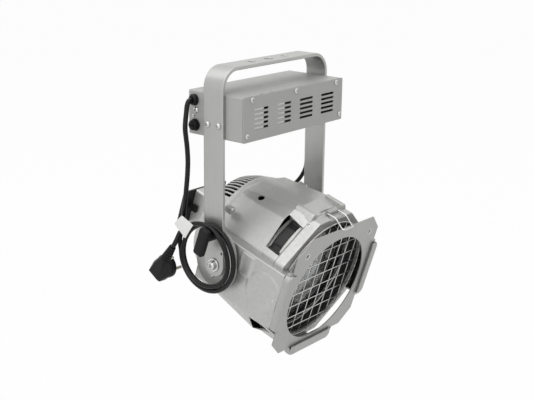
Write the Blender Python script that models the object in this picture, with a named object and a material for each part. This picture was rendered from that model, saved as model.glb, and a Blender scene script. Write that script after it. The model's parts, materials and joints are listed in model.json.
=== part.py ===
"""Multi-lens spotlight: a tilting lamp head in a flat-bar yoke that also carries the ballast box.

Units are metres, +Z is up and the beam leaves towards -Y. The origin is the middle of the yoke's
top face, at its centre hole. The head's pieces are built in the head's own frame, level, and hang
from one empty on the pivot axis, which tilts them. In that frame a place is given as
x across, u forward along the beam from the pivot and v up, square to the beam.
"""

import math

import bmesh
import bpy
import numpy as np
from mathutils import Matrix, Vector

# Clearance between touching pieces
GAP = 0.0003

# Yoke: one flat bar bent into an inverted U
YOKE_HALF_WIDTH = 0.117
BAR_WIDTH = 0.0357
BAR_THICKNESS = 0.005
YOKE_CORNER_RADIUS = 0.030
PIVOT_DROP = 0.2786
YOKE_HOLE_PITCH = 0.0368
YOKE_HOLE_RADIUS = 0.0055
YOKE_CENTRE_HOLE_RADIUS = 0.0065
HEAD_TILT = math.radians(17.3)

# Ballast box between the legs
BOX_TOP = -0.0354
BOX_HEIGHT = 0.0618
BOX_DEPTH = 0.1005
BOX_WALL = 0.0015
COVER_THICKNESS = 0.0015
BOSS_SIZE = 0.010
BOSS_DEPTH = 0.012
COVER_TOP_INSET = 0.0168
COVER_BOTTOM_INSET = 0.0065
COVER_SCREW_HIGH = 0.0047
COVER_SCREW_LOW = 0.0087
LOUVRE_LENGTH = 0.030
LOUVRE_HEIGHT = 0.0027
LOUVRE_PITCH = 0.0064
LOUVRE_ROWS = 5
LOUVRE_GROUP_PITCH = 0.050
LOUVRE_GROUPS = 4
LOUVRE_DROP = 0.032

# Screws
COVER_SCREW_RADIUS = 0.0015
COVER_SCREW_HEAD_RADIUS = 0.0031
COVER_SCREW_LENGTH = 0.008
LEG_SCREW_RADIUS = 0.0023
LEG_SCREW_HEAD_RADIUS = 0.0042
LEG_SCREW_LENGTH = 0.013
LEG_SCREW_SPREAD = 0.0098
LEG_SCREW_HEIGHT = -0.078
SCREW_HEAD_SHARE = 0.75

# Left end of the ballast box
GLAND_Y = BOX_DEPTH / 2 - 0.01125
GLAND_Z = BOX_TOP - 0.0131
GLAND_NUT_RADIUS = 0.0080
GLAND_NECK_RADIUS = 0.0058
GLAND_REACH = 0.0062
GLAND_NUT = 0.0040
EARTH_Y = BOX_DEPTH / 2 - 0.01425
EARTH_Z = BOX_TOP - 0.0271
FUSE_Y = BOX_DEPTH / 2 - 0.01305
FUSE_Z = BOX_TOP - BOX_HEIGHT + 0.0140
FUSE_FLANGE_RADIUS = 0.0078
FUSE_NECK_RADIUS = 0.0060
FUSE_BORE_RADIUS = 0.0030
FUSE_RADIUS = 0.0026
FUSE_LENGTH = 0.020
FUSE_BODY_LENGTH = 0.030
FUSE_CAP_LENGTH = 0.0060

# Inside of the ballast box
MODULE_SIZE = (0.112, 0.060, 0.036)
MODULE_X = 0.040
MODULE_Y = 0.012
TERMINAL_SIZE = (0.034, 0.018, 0.016)
TERMINAL_X = -YOKE_HALF_WIDTH + 0.042
BRACKET_X = -0.052
BRACKET_WIDTH = 0.088
BRACKET_THICKNESS = 0.0012
BRACKET_HEIGHT = 0.030
BRACKET_FOOT = 0.018

# Pivot
PIVOT_PLATE_RADIUS = 0.037
PIVOT_PLATE_RISE = 0.018
PIVOT_PLATE_THICKNESS = 0.0030
PIVOT_BOLT_RADIUS = 0.0050
PIVOT_HEAD_RADIUS = 0.0070
PIVOT_HEAD_HEIGHT = 0.0050
PIVOT_WASHER_RADIUS = 0.0100
PIVOT_WASHER_THICKNESS = 0.0016
PIVOT_BUSH_RADIUS = 0.0120
PIVOT_BOLT_REACH = 0.0060
PLATE_SCREW_Y = 0.0083
PLATE_SCREW_DROP = 0.0204

# Tilt lock
LOCK_RISE = 0.0463
LOCK_STUD_RADIUS = 0.0040
LOCK_HUB_RADIUS = 0.0090
LOCK_HUB_LENGTH = 0.0170
LOCK_PADDLE_THICKNESS = 0.0110
LOCK_PADDLE_WIDTH = 0.0230
LOCK_PADDLE_TOP = 0.0150
LOCK_PADDLE_BOTTOM = 0.0285
LOCK_PADDLE_CORNER = 0.0060

# Main casting of the head. Corner points of its outline are (x, v) on the left upper quarter.
CASTING_REAR = -0.0410
CASTING_SHOULDER = 0.0570
BEZEL_REAR = 0.0850
BEZEL_FRONT = 0.1010
CASTING_REAR_RADIUS = 0.0925
FACET_START = -0.0300
FACET_OUTLINE = ((0.0, 0.0958), (-0.0433, 0.0904), (-0.0480, 0.0830), (-0.0868, 0.0434), (-0.0922, 0.0200))
SHOULDER_OUTLINE = ((0.0, 0.1080), (-0.0425, 0.1040), (-0.0620, 0.0935), (-0.0940, 0.0470), (-0.0940, 0.0217))
BEZEL_OUTLINE = ((0.0, 0.1040), (-0.0380, 0.1020), (-0.0620, 0.0815), (-0.0985, 0.0505), (-0.0985, 0.0233))
CASTING_WALL = 0.0038
CHEEK_X = YOKE_HALF_WIDTH - 0.0110
CHEEK_HALF_HEIGHT = 0.0445
CHEEK_REAR = -0.0360
CHEEK_DEPTH = 0.0130
CHEEK_WALL = 0.0032
RING_BORE = 0.0980
LIP_THICKNESS = 0.0035
REFLECTOR_SEAT = 0.0520
REFLECTOR_SEAT_RADIUS = 0.0940
WINDOW_REAR = 0.0574
WINDOW_SPAN = 0.0600
WINDOW_ANGLE = math.radians(43.5)
WINDOW_SHIFT = -0.0020
WINDOW_REACH = 0.1060
LUG_OUTLINE = ((-0.0290, 0.0900), (-0.0470, 0.0900), (-0.0365, 0.1085), (-0.0300, 0.1085))
STRIP_HOLE_RADIUS = 0.0044
STRIP_HOLE_U = 0.0008
STRIP_HOLE_PLACE = (0.0462, 0.0922)
STRIP_HOLE_WAY = (0.63, 0.78)
RECESS_HALF_WIDTH = 0.0190
RECESS_REAR = 0.0790
RECESS_FLOOR = 0.1020
LATCH_X = 0.0050

# Rear of the head
DOME_REAR = -0.0780
DOME_REAR_RADIUS = 0.0760
DOME_SECTIONS = ((0.058, 0.0865), (0.070, 0.0805))
DOME_WALL = 0.0028
FIN_PITCH = 0.0065
FIN_SLOT_WIDTH = 0.0033
FIN_SLOTS = 17
FIN_SLOT_FRONT = -0.0470
BASE_HALF_WIDTH = 0.0250
BASE_HALF_HEIGHT = 0.0300
BASE_REAR = -0.1350
BASE_CORNER = 0.0080
BASE_WALL = 0.0030
BACK_PLATE_HALF_WIDTH = 0.0470
BACK_PLATE_HALF_HEIGHT = 0.0285
BACK_PLATE_THICKNESS = 0.0040
LATCH_BLOCK = (0.0045, 0.0100, 0.0115)
LATCH_BLOCK_U = -0.1270

# Light path
REFLECTOR_WALL = 0.0012
REFLECTOR_THROAT = 0.0150
REFLECTOR_RIM = 0.0880
REFLECTOR_DEPTH = 0.0950
REFLECTOR_FLANGE = 0.0016
LAMP_HOLDER_RADIUS = 0.0130
LAMP_TUBE_RADIUS = 0.0070
LAMP_TIP = 0.0180
RING_REAR = 0.0580
RING_WALL = 0.0080
RING_FLUTES = 22
RING_FLUTE_DEPTH = 0.0010
LENS_RADIUS = 0.0860
LENS_U = 0.0760
LENS_EDGE = 0.0040
LENS_CROWN = 0.0050
LENS_CLIP_WIRE = 0.0011

# Front of the head
PLATE_HALF = 0.0950
PLATE_CHAMFER = 0.0220
PLATE_U = 0.1171
PLATE_THICKNESS = 0.0020
PLATE_OPENING_RADIUS = 0.0830
PLATE_OPENING_DROP = 0.0050
PLATE_RIVET_X = 0.0745
PLATE_RIVET_V = 0.0690
PLATE_RIVET_RADIUS = 0.0030
GUTTER_HALF_LENGTH = 0.0460
GUTTER_BOTTOM_HALF_LENGTH = 0.0480
GUTTER_WALL = 0.0020
GUTTER_PLAY = 0.0006
GUTTER_BOTTOM_DEPTH = 0.0150
GUTTER_COVER = 0.0035
GUTTER_REAR = 0.1115
GUTTER_FRONT = 0.1230
GUTTER_FOOT_DEPTH = 0.0100
GUARD_RADIUS = 0.0955
LIP_BORE = GUARD_RADIUS - 0.0030
GUARD_WIRE = 0.0014
GUARD_PITCH = 0.0205
GUARD_BARS = 8
RETAINER_WIRE = 0.0011
RETAINER_HALF_WIDTH = 0.0117
RETAINER_BLOCK = (0.0200, 0.0070, 0.0046)
RETAINER_PIVOT_U = 0.0870
RETAINER_PIVOT_V = 0.1046

# Mains lead
CORD_RADIUS = 0.0035
SQUARE_END = 0.0020
COIL_CENTRE_Y = 0.0078
COIL_OUTER_TURN = 0.0500
COIL_INNER_TURN = 0.0428
COIL_EXIT_TURN = 0.0500
COIL_OVER_HUB = 0.0487
COIL_LAYER_STEP = 0.0056
COIL_INWARD_STEP = 0.0026
COIL_TURNS = 1.875
COIL_POINTS_PER_TURN = 24
COIL_X = -YOKE_HALF_WIDTH - 0.0052
CORD_RUN_POINTS = 22
CORD_RUN = ((0.0092, 0.0393, -0.0548), (0.0105, 0.0396, -0.0640), (0.0120, 0.0400, -0.0760), (0.0128, 0.0400, -0.0870),
            (0.0113, 0.0400, -0.0990), (0.0092, 0.0400, -0.1140), (0.0080, 0.0400, -0.1330), (0.0088, 0.0403, -0.1520),
            (0.0098, 0.0412, -0.1680), (0.0095, 0.0440, -0.1870), (0.0080, 0.0485, -0.2060), (0.0065, 0.0532, -0.2280))
CORD_TAIL_POINTS = 10
PLUG_CENTRE = (-YOKE_HALF_WIDTH - 0.0031, 0.0863, -0.2990)
PLUG_CORD_WAY = (0.0, -0.568, 0.823)
PLUG_TWIST = math.radians(0)
PLUG_FACE_RADIUS = 0.0175
PLUG_FLANGE = 0.0070
PLUG_CORD_DEPTH = 0.0175
PLUG_BOOT_START = 0.0475
PLUG_BOOT_END = 0.0215
PLUG_BOOT_THIN = 0.0050
PLUG_BOOT_THICK = 0.0080
PLUG_RIBS = 5
PLUG_CORNERS = ((0.0120, 0.0060, -0.0175), (0.0120, 0.0200, -0.0165), (0.0095, 0.0258, -0.0120),
                (0.0085, 0.0258, 0.0060), (0.0165, 0.0140, -0.0030))
PLUG_PIN_RADIUS = 0.0024
PLUG_PIN_PITCH = 0.0190
PLUG_PIN_LENGTH = 0.0190
PLUG_PIN_ROOT = 0.0050
TAG_X = -YOKE_HALF_WIDTH - 0.0181
TAG_CORNERS = ((0.0430, -0.2106), (0.0214, -0.2203), (0.0370, -0.2429), (0.0579, -0.2256))
TAG_THICKNESS = 0.0008

# Lamp lead
LAMP_LEAD_RADIUS = 0.0032
LAMP_LEAD_POINTS = 24
LAMP_LEAD_RUN = ((0.0150, 0.0276, -0.0882), (0.0218, 0.0277, -0.0950), (0.0243, 0.0278, -0.1060),
                 (0.0235, 0.0280, -0.1220), (0.0205, 0.0284, -0.1450), (0.0162, 0.0300, -0.1700),
                 (0.0122, 0.0330, -0.1940), (0.0040, 0.0440, -0.2160), (-0.0110, 0.0640, -0.2350),
                 (-0.0330, 0.0880, -0.2465))
LEAD_GLAND_Y = BOX_DEPTH / 2 - 0.02275
LEAD_GLAND_Z = BOX_TOP - BOX_HEIGHT + 0.0122
LEAD_GLAND_RADIUS = 0.0065
LEAD_NECK_RADIUS = 0.0045
LEAD_ENTRY_U = -0.1130

ROUND_SIDES = 20
LARGE_SIDES = 48

BOX_HALF_WIDTH = YOKE_HALF_WIDTH - BAR_THICKNESS - GAP
BOX_BOTTOM = BOX_TOP - BOX_HEIGHT
LEG_INNER = YOKE_HALF_WIDTH - BAR_THICKNESS
BOX_FRONT = -BOX_DEPTH / 2
CASE_FRONT = BOX_FRONT + COVER_THICKNESS + GAP
PIVOT_PLATE_INNER = LEG_INNER - GAP - PIVOT_PLATE_THICKNESS
LOCK_Z = LOCK_RISE - PIVOT_DROP
GUARD_U = BEZEL_FRONT + GAP + GUARD_WIRE * 0.7
COIL_CENTRE_Z = LOCK_Z - math.sqrt((COIL_OVER_HUB - CORD_RADIUS - LOCK_HUB_RADIUS - GAP) ** 2 - COIL_CENTRE_Y**2)


def material(name, colour, roughness, metallic=0.0):
    """A Principled material from an sRGB triple."""
    made = bpy.data.materials.new(name)
    made.use_nodes = True
    shader = made.node_tree.nodes["Principled BSDF"]
    linear = [c / 12.92 if c <= 0.04045 else ((c + 0.055) / 1.055) ** 2.4 for c in colour]
    shader.inputs["Base Color"].default_value = (*linear, 1.0)
    shader.inputs["Roughness"].default_value = roughness
    shader.inputs["Metallic"].default_value = metallic
    return made


def head_point(x, u, v):
    """A place in the head's level frame: the beam runs along -Y."""
    return Vector((x, -u, v))


def add_object(name, mesh, finish, parent=None, location=(0, 0, 0)):
    """Put a mesh in the scene as one sub-part, shaded smooth except at its sharp edges."""
    mesh.materials.append(finish)
    mesh.shade_smooth()
    mesh.set_sharp_from_angle(angle=math.radians(32))
    made = bpy.data.objects.new(name, mesh)
    bpy.context.scene.collection.objects.link(made)
    made.parent = parent
    made.location = location
    return made


def mesh_from(name, vertices, faces):
    """A mesh whose faces all point out."""
    mesh = bpy.data.meshes.new(name)
    mesh.from_pydata([tuple(v) for v in vertices], [], faces)
    work = bmesh.new()
    work.from_mesh(mesh)
    bmesh.ops.recalc_face_normals(work, faces=work.faces)
    work.to_mesh(mesh)
    work.free()
    mesh.update()
    return mesh


def loft(name, rings, closed=False):
    """A solid through rings of as many points each; its ends are capped unless it closes on itself."""
    rings = np.asarray(rings, dtype=float)
    count, around = rings.shape[:2]
    faces = []
    last = count if closed else count - 1
    for i in range(last):
        here, there = i * around, (i + 1) % count * around
        for j in range(around):
            k = (j + 1) % around
            faces.append((here + j, here + k, there + k, there + j))
    if not closed:
        faces.append(tuple(range(around)))
        faces.append(tuple((count - 1) * around + j for j in range(around)))
    return mesh_from(name, rings.reshape(-1, 3), faces)


AXES = {"x": (1, 2, 0), "y": (2, 0, 1), "z": (0, 1, 2)}


def on_axis(axis, across, up, along):
    """Order three coordinate arrays as XYZ for a shape whose length runs along the named axis."""
    first, second, third = AXES[axis]
    out = np.zeros(np.broadcast(across, up, along).shape + (3,))
    out[..., first] = across
    out[..., second] = up
    out[..., third] = along
    return out


def turned(name, profile, axis, centre=(0, 0, 0), sides=ROUND_SIDES, hollow=False):
    """A turned piece: profile points are (place along the axis, radius)."""
    angle = np.arange(sides) * 2 * math.pi / sides
    rings = [on_axis(axis, r * np.cos(angle), r * np.sin(angle), np.full(sides, a)) for a, r in profile]
    return loft(name, np.array(rings) + np.array(centre), closed=hollow)


def prism(name, outline, axis, low, high, centre=(0, 0, 0)):
    """An outline of (across, up) points carried along an axis, as AXES orders them."""
    outline = np.asarray(outline, dtype=float)
    rings = [on_axis(axis, outline[:, 0], outline[:, 1], np.full(len(outline), a)) for a in (low, high)]
    return loft(name, np.array(rings) + np.array(centre))


def triangulated(mesh):
    """The same mesh in triangles, so that a bent face stays exact where another piece cuts it."""
    work = bmesh.new()
    work.from_mesh(mesh)
    bmesh.ops.triangulate(work, faces=work.faces)
    work.to_mesh(mesh)
    work.free()
    return mesh


def block(name, size, centre):
    """A plain box."""
    x, y, z = (s / 2 for s in size)
    return prism(name, [(-x, -y), (x, -y), (x, y), (-x, y)], "z", -z, z, centre)


def rounded_rectangle(half_width, half_height, radius, steps=4):
    """Outline of a rectangle with round corners, centred on the origin."""
    points = []
    for quarter, (sx, sy) in enumerate(((1, 1), (-1, 1), (-1, -1), (1, -1))):
        for step in range(steps + 1):
            a = math.radians(90 * quarter + 90 * step / steps)
            points.append((sx * (half_width - radius) + radius * math.cos(a),
                           sy * (half_height - radius) + radius * math.sin(a)))
    return points


def merged(name, meshes):
    """Several meshes as one, for cutters whose parts don't touch."""
    work = bmesh.new()
    for mesh in meshes:
        work.from_mesh(mesh)
    out = bpy.data.meshes.new(name)
    work.to_mesh(out)
    work.free()
    return out


def tool(name, mesh, parent=None):
    """A hidden shape that cuts or joins another piece."""
    made = bpy.data.objects.new(name, mesh)
    bpy.context.scene.collection.objects.link(made)
    made.parent = parent
    made.hide_render = True
    made.display_type = "WIRE"
    return made


def boolean(target, operation, mesh):
    """Cut a mesh from an object, or join it to it, as a live modifier."""
    helper = tool(f"{target.name}_{operation.lower()}_{len(target.modifiers)}", mesh, target.parent)
    helper.location = target.location
    change = target.modifiers.new(operation.title(), "BOOLEAN")
    change.operation = operation
    change.solver = "EXACT"
    change.object = helper


def cut(target, *meshes):
    """Take meshes away from an object; those of one call don't touch each other."""
    boolean(target, "DIFFERENCE", merged(f"{target.name}_cuts", meshes))


def join(target, mesh):
    """Add a mesh to an object."""
    boolean(target, "UNION", mesh)


def rod(axis, centre, radius, half_length, sides=ROUND_SIDES):
    """A plain cylinder centred on a point."""
    return turned("rod", [(-half_length, radius), (half_length, radius)], axis, centre, sides)


def tube(name, points, radius, finish, bevel_resolution=2, parent=None):
    """A round tube along a list of points, with flat closed ends."""
    curve = bpy.data.curves.new(name, "CURVE")
    curve.dimensions = "3D"
    curve.bevel_depth = radius
    curve.bevel_resolution = bevel_resolution
    curve.use_fill_caps = True
    spline = curve.splines.new("POLY")
    spline.points.add(len(points) - 1)
    for point, place in zip(spline.points, points):
        point.co = (*place, 1.0)
    curve.materials.append(finish)
    made = bpy.data.objects.new(name, curve)
    bpy.context.scene.collection.objects.link(made)
    made.parent = parent
    return made


def smooth_route(controls, count):
    """Evenly spaced points on a Catmull-Rom curve through the controls."""
    controls = np.asarray(controls, dtype=float)
    padded = np.vstack([2 * controls[0] - controls[1], controls, 2 * controls[-1] - controls[-2]])
    fine = []
    for i in range(len(controls) - 1):
        a, b, c, d = padded[i:i + 4]
        t = np.linspace(0, 1, 40, endpoint=False)[:, None]
        fine.append(0.5 * (2 * b + (c - a) * t + (2 * a - 5 * b + 4 * c - d) * t**2
                           + (3 * b - a - 3 * c + d) * t**3))
    fine = np.vstack([*fine, controls[-1:]])
    reach = np.concatenate([[0], np.cumsum(np.linalg.norm(np.diff(fine, axis=0), axis=1))])
    even = np.linspace(0, reach[-1], count)
    return np.stack([np.interp(even, reach, fine[:, k]) for k in range(3)], axis=1)


def squared(points, first, last):
    """A route whose first and last short lengths run exactly along the given directions."""
    first = np.asarray(first, dtype=float) / np.linalg.norm(first)
    last = np.asarray(last, dtype=float) / np.linalg.norm(last)
    return np.vstack([points[0], points[0] + first * SQUARE_END, points[1:-1], points[-1] - last * SQUARE_END,
                      points[-1]])


def screw_profile(head_radius, shank_radius, length, seat):
    """Profile of a pan-head screw whose head stands out of a face at 0, along a falling axis."""
    head = head_radius * SCREW_HEAD_SHARE
    return [(-length, shank_radius), (seat, shank_radius), (seat, head_radius),
            (seat + head * 0.6, head_radius * 0.92), (seat + head, head_radius * 0.55)]


def screw(name, finish, axis, outward, place, head_radius, shank_radius, length, parent=None):
    """A screw whose head stands out of a face along +axis or -axis."""
    profile = [(outward * a, r) for a, r in screw_profile(head_radius, shank_radius, length, GAP)]
    return add_object(name, turned(name, profile, axis, sides=12), finish, parent, place)


def yoke_rings():
    """Sections of the bent bar from the left pivot end over the top to the right one."""
    half_bar = BAR_WIDTH / 2
    middle = YOKE_HALF_WIDTH - BAR_THICKNESS / 2
    bend = YOKE_CORNER_RADIUS - BAR_THICKNESS / 2
    top = -BAR_THICKNESS / 2
    stations = []
    for degrees in (85, 75, 60, 45, 30, 15, 0):
        a = math.radians(degrees)
        stations.append((-middle, -PIVOT_DROP - half_bar * math.sin(a), (-1, 0), half_bar * math.cos(a)))
    for step in range(9):
        a = math.radians(180 - 90 * step / 8)
        stations.append((-middle + bend + bend * math.cos(a), top - bend + bend * math.sin(a),
                         (math.cos(a), math.sin(a)), half_bar))
    stations += [(-x, z, (-nx, nz), half) for x, z, (nx, nz), half in reversed(stations)]
    rings = []
    for x, z, (nx, nz), half in stations:
        out = BAR_THICKNESS / 2
        rings.append([(x + nx * out, -half, z + nz * out), (x + nx * out, half, z + nz * out),
                      (x - nx * out, half, z - nz * out), (x - nx * out, -half, z - nz * out)])
    return rings


def build_yoke(finish):
    """The bent flat bar, drilled for its bolts, screws and hanging hardware."""
    yoke = add_object("yoke_bar", loft("yoke_bar", yoke_rings()), finish)
    through = BAR_THICKNESS * 2
    holes = [rod("z", (0, 0, -BAR_THICKNESS / 2), YOKE_CENTRE_HOLE_RADIUS, through)]
    for side in (-1, 1):
        x = side * (YOKE_HALF_WIDTH - BAR_THICKNESS / 2)
        holes.append(rod("z", (side * YOKE_HOLE_PITCH, 0, -BAR_THICKNESS / 2), YOKE_HOLE_RADIUS, through))
        holes.append(rod("x", (x, 0, -PIVOT_DROP), PIVOT_BOLT_RADIUS + GAP, through))
        for front_back in (-1, 1):
            holes.append(rod("x", (x, front_back * LEG_SCREW_SPREAD, LEG_SCREW_HEIGHT),
                             LEG_SCREW_RADIUS + GAP, through, 16))
    holes.append(rod("x", (-YOKE_HALF_WIDTH + BAR_THICKNESS / 2, 0, LOCK_Z), LOCK_STUD_RADIUS + GAP, through))
    cut(yoke, *holes)


def pivot_plate_outline():
    """Capsule round the pivot: two half circles, one above the other, as (y, z)."""
    points = []
    for centre, start in ((PIVOT_PLATE_RISE, 0), (0.0, 180)):
        for step in range(17):
            a = math.radians(start + 180 * step / 16)
            points.append((PIVOT_PLATE_RADIUS * math.cos(a),
                           centre - PIVOT_DROP + PIVOT_PLATE_RADIUS * math.sin(a)))
    return points


def build_pivot(side, label, steel, aluminium):
    """Everything that holds one side of the head: plate, bush, washer and bolt."""
    plate = add_object(f"pivot_plate_{label}",
                       prism("plate", pivot_plate_outline(), "x", side * PIVOT_PLATE_INNER,
                             side * (PIVOT_PLATE_INNER + PIVOT_PLATE_THICKNESS)), aluminium)
    middle = side * (PIVOT_PLATE_INNER + PIVOT_PLATE_THICKNESS / 2)
    through = PIVOT_PLATE_THICKNESS * 2
    holes = [rod("x", (middle, 0, -PIVOT_DROP), PIVOT_BOLT_RADIUS + GAP, through),
             rod("x", (middle, PLATE_SCREW_Y, -PIVOT_DROP - PLATE_SCREW_DROP), COVER_SCREW_RADIUS + GAP, through, 16)]
    if side < 0:
        holes.append(rod("x", (middle, 0, LOCK_Z), LOCK_STUD_RADIUS + GAP, through))
    cut(plate, *holes)
    bush_room = PIVOT_PLATE_INNER - CHEEK_X
    add_object(f"pivot_bush_{label}",
               turned("bush", [(side * (CHEEK_X + GAP), PIVOT_BUSH_RADIUS),
                               (side * (CHEEK_X + bush_room - GAP), PIVOT_BUSH_RADIUS),
                               (side * (CHEEK_X + bush_room - GAP), PIVOT_BOLT_RADIUS + GAP),
                               (side * (CHEEK_X + GAP), PIVOT_BOLT_RADIUS + GAP)], "x", hollow=True),
               steel, None, (0, 0, -PIVOT_DROP))
    washer_in = YOKE_HALF_WIDTH + GAP
    washer_out = washer_in + PIVOT_WASHER_THICKNESS
    add_object(f"pivot_washer_{label}",
               turned("washer", [(side * washer_in, PIVOT_WASHER_RADIUS), (side * washer_out, PIVOT_WASHER_RADIUS),
                                 (side * washer_out, PIVOT_BOLT_RADIUS + GAP),
                                 (side * washer_in, PIVOT_BOLT_RADIUS + GAP)], "x", hollow=True),
               steel, None, (0, 0, -PIVOT_DROP))
    head_in = washer_out + GAP
    add_object(f"pivot_bolt_{label}",
               turned("bolt", [(side * (CHEEK_X - PIVOT_BOLT_REACH), PIVOT_BOLT_RADIUS),
                               (side * head_in, PIVOT_BOLT_RADIUS), (side * head_in, PIVOT_HEAD_RADIUS),
                               (side * (head_in + PIVOT_HEAD_HEIGHT * 0.6), PIVOT_HEAD_RADIUS * 0.9),
                               (side * (head_in + PIVOT_HEAD_HEIGHT), PIVOT_HEAD_RADIUS * 0.5)], "x"),
               steel, None, (0, 0, -PIVOT_DROP))


def cover_screw_places():
    """The five screws of the front cover as (x, z), each in its boss."""
    high = BOX_TOP - COVER_SCREW_HIGH
    low = BOX_BOTTOM + COVER_SCREW_LOW
    top, bottom = BOX_HALF_WIDTH - COVER_TOP_INSET, BOX_HALF_WIDTH - COVER_BOTTOM_INSET
    return [(-top, high), (0.0, high), (top, high), (-bottom, low), (bottom, low)]


def bossed_outline():
    """Inner outline of the case behind its cover as (z, x): a rectangle that leaves a boss at each screw."""
    x = BOX_HALF_WIDTH - BOX_WALL
    low, high = BOX_BOTTOM + BOX_WALL, BOX_TOP - BOX_WALL
    half = BOSS_SIZE / 2
    screws = cover_screw_places()
    outline = [(low + BOSS_SIZE, -x), (high, -x)]
    for place, _ in screws[:3]:
        outline += [(high, place - half), (high - BOSS_SIZE, place - half), (high - BOSS_SIZE, place + half),
                    (high, place + half)]
    right = screws[4][0] - half
    outline += [(high, x), (low + BOSS_SIZE, x), (low + BOSS_SIZE, right), (low, right), (low, -right),
                (low + BOSS_SIZE, -right)]
    return outline


def build_ballast_box(paint, steel):
    """Case, louvred front cover and the screws that hold both."""
    case = add_object("ballast_case",
                      block("case", (BOX_HALF_WIDTH * 2, BOX_DEPTH / 2 - CASE_FRONT, BOX_HEIGHT),
                            (0, (CASE_FRONT + BOX_DEPTH / 2) / 2, (BOX_TOP + BOX_BOTTOM) / 2)), paint)
    x, low, high = BOX_HALF_WIDTH - BOX_WALL, BOX_BOTTOM + BOX_WALL, BOX_TOP - BOX_WALL
    cut(case, prism("mouth", bossed_outline(), "y", CASE_FRONT - BOX_WALL, CASE_FRONT + BOSS_DEPTH + BOX_WALL))
    cut(case, prism("room", [(low, -x), (high, -x), (high, x), (low, x)], "y", CASE_FRONT + BOSS_DEPTH,
                    BOX_DEPTH / 2 - BOX_WALL))
    holes = []
    for x, z in cover_screw_places():
        holes.append(rod("y", (x, CASE_FRONT, z), COVER_SCREW_RADIUS + GAP, COVER_SCREW_LENGTH + GAP, 16))
    for side in (-1, 1):
        for front_back in (-1, 1):
            holes.append(rod("x", (side * BOX_HALF_WIDTH, front_back * LEG_SCREW_SPREAD, LEG_SCREW_HEIGHT),
                             LEG_SCREW_RADIUS + GAP, BOX_WALL * 2, 16))
    holes.append(rod("x", (-BOX_HALF_WIDTH, GLAND_Y, GLAND_Z), GLAND_NECK_RADIUS + GAP, BOX_WALL * 2))
    holes.append(rod("x", (-BOX_HALF_WIDTH, FUSE_Y, FUSE_Z), FUSE_NECK_RADIUS + GAP, BOX_WALL * 2))
    holes.append(rod("x", (-BOX_HALF_WIDTH, EARTH_Y, EARTH_Z), COVER_SCREW_RADIUS + GAP, BOX_WALL * 2, 16))
    holes.append(rod("x", (BOX_HALF_WIDTH, LEAD_GLAND_Y, LEAD_GLAND_Z), LEAD_NECK_RADIUS + GAP, BOX_WALL * 2))
    cut(case, *holes)

    middle = (BOX_TOP + BOX_BOTTOM) / 2
    cover = add_object("ballast_cover",
                       block("cover", (BOX_HALF_WIDTH * 2, COVER_THICKNESS, BOX_HEIGHT),
                             (0, BOX_FRONT + COVER_THICKNESS / 2, middle)), paint)
    openings = [rod("y", (x, BOX_FRONT, z), COVER_SCREW_RADIUS + GAP, COVER_THICKNESS * 2, 16)
                for x, z in cover_screw_places()]
    for group in range(LOUVRE_GROUPS):
        x = (group - (LOUVRE_GROUPS - 1) / 2) * LOUVRE_GROUP_PITCH
        for row in range(LOUVRE_ROWS):
            z = BOX_TOP - LOUVRE_DROP + (row - (LOUVRE_ROWS - 1) / 2) * LOUVRE_PITCH
            openings.append(block("slot", (LOUVRE_LENGTH, COVER_THICKNESS * 3, LOUVRE_HEIGHT), (x, BOX_FRONT, z)))
    cut(cover, *openings)
    for number, (x, z) in enumerate(cover_screw_places(), 1):
        screw(f"cover_screw_{number}", steel, "y", -1, (x, BOX_FRONT, z), COVER_SCREW_HEAD_RADIUS,
              COVER_SCREW_RADIUS, COVER_SCREW_LENGTH)
    for side, label in ((-1, "left"), (1, "right")):
        for front_back, end in ((-1, "front"), (1, "rear")):
            screw(f"leg_screw_{label}_{end}", steel, "x", side,
                  (side * YOKE_HALF_WIDTH, front_back * LEG_SCREW_SPREAD, LEG_SCREW_HEIGHT),
                  LEG_SCREW_HEAD_RADIUS, LEG_SCREW_RADIUS, LEG_SCREW_LENGTH)


def build_ballast_inside(potting, plastic, zinc):
    """What the box holds: the ballast, its bracket and the terminal block."""
    floor = BOX_BOTTOM + BOX_WALL + GAP
    width, depth, height = MODULE_SIZE
    add_object("ballast_module", block("module", MODULE_SIZE, (MODULE_X, MODULE_Y, floor + height / 2)), potting)
    front = MODULE_Y - depth / 2 - GAP
    t = BRACKET_THICKNESS
    outline = [(floor, front), (floor + t, front), (floor + t, front - BRACKET_FOOT + t),
               (floor + BRACKET_HEIGHT, front - BRACKET_FOOT + t), (floor + BRACKET_HEIGHT, front - BRACKET_FOOT),
               (floor, front - BRACKET_FOOT)]
    bracket = prism("bracket", [(y, z) for z, y in outline], "x", BRACKET_X - BRACKET_WIDTH / 2,
                    BRACKET_X + BRACKET_WIDTH / 2)
    add_object("module_bracket", bracket, zinc)
    tw, td, th = TERMINAL_SIZE
    add_object("terminal_block", block("terminal", TERMINAL_SIZE, (TERMINAL_X, MODULE_Y, floor + th / 2)), plastic)


def gland(name, finish, side, place, nut_radius, neck_radius, reach):
    """A cable gland clamped through an end wall of the case, nut inside and dome outside."""
    inner = -BOX_WALL - GAP
    profile = [(inner - GLAND_NUT, nut_radius), (inner, nut_radius), (inner, neck_radius), (GAP, neck_radius),
               (GAP, nut_radius), (reach * 0.5, nut_radius), (reach, nut_radius * 0.72)]
    add_object(name, turned(name, [(side * a, r) for a, r in profile], "x"), finish, None, place)


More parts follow.
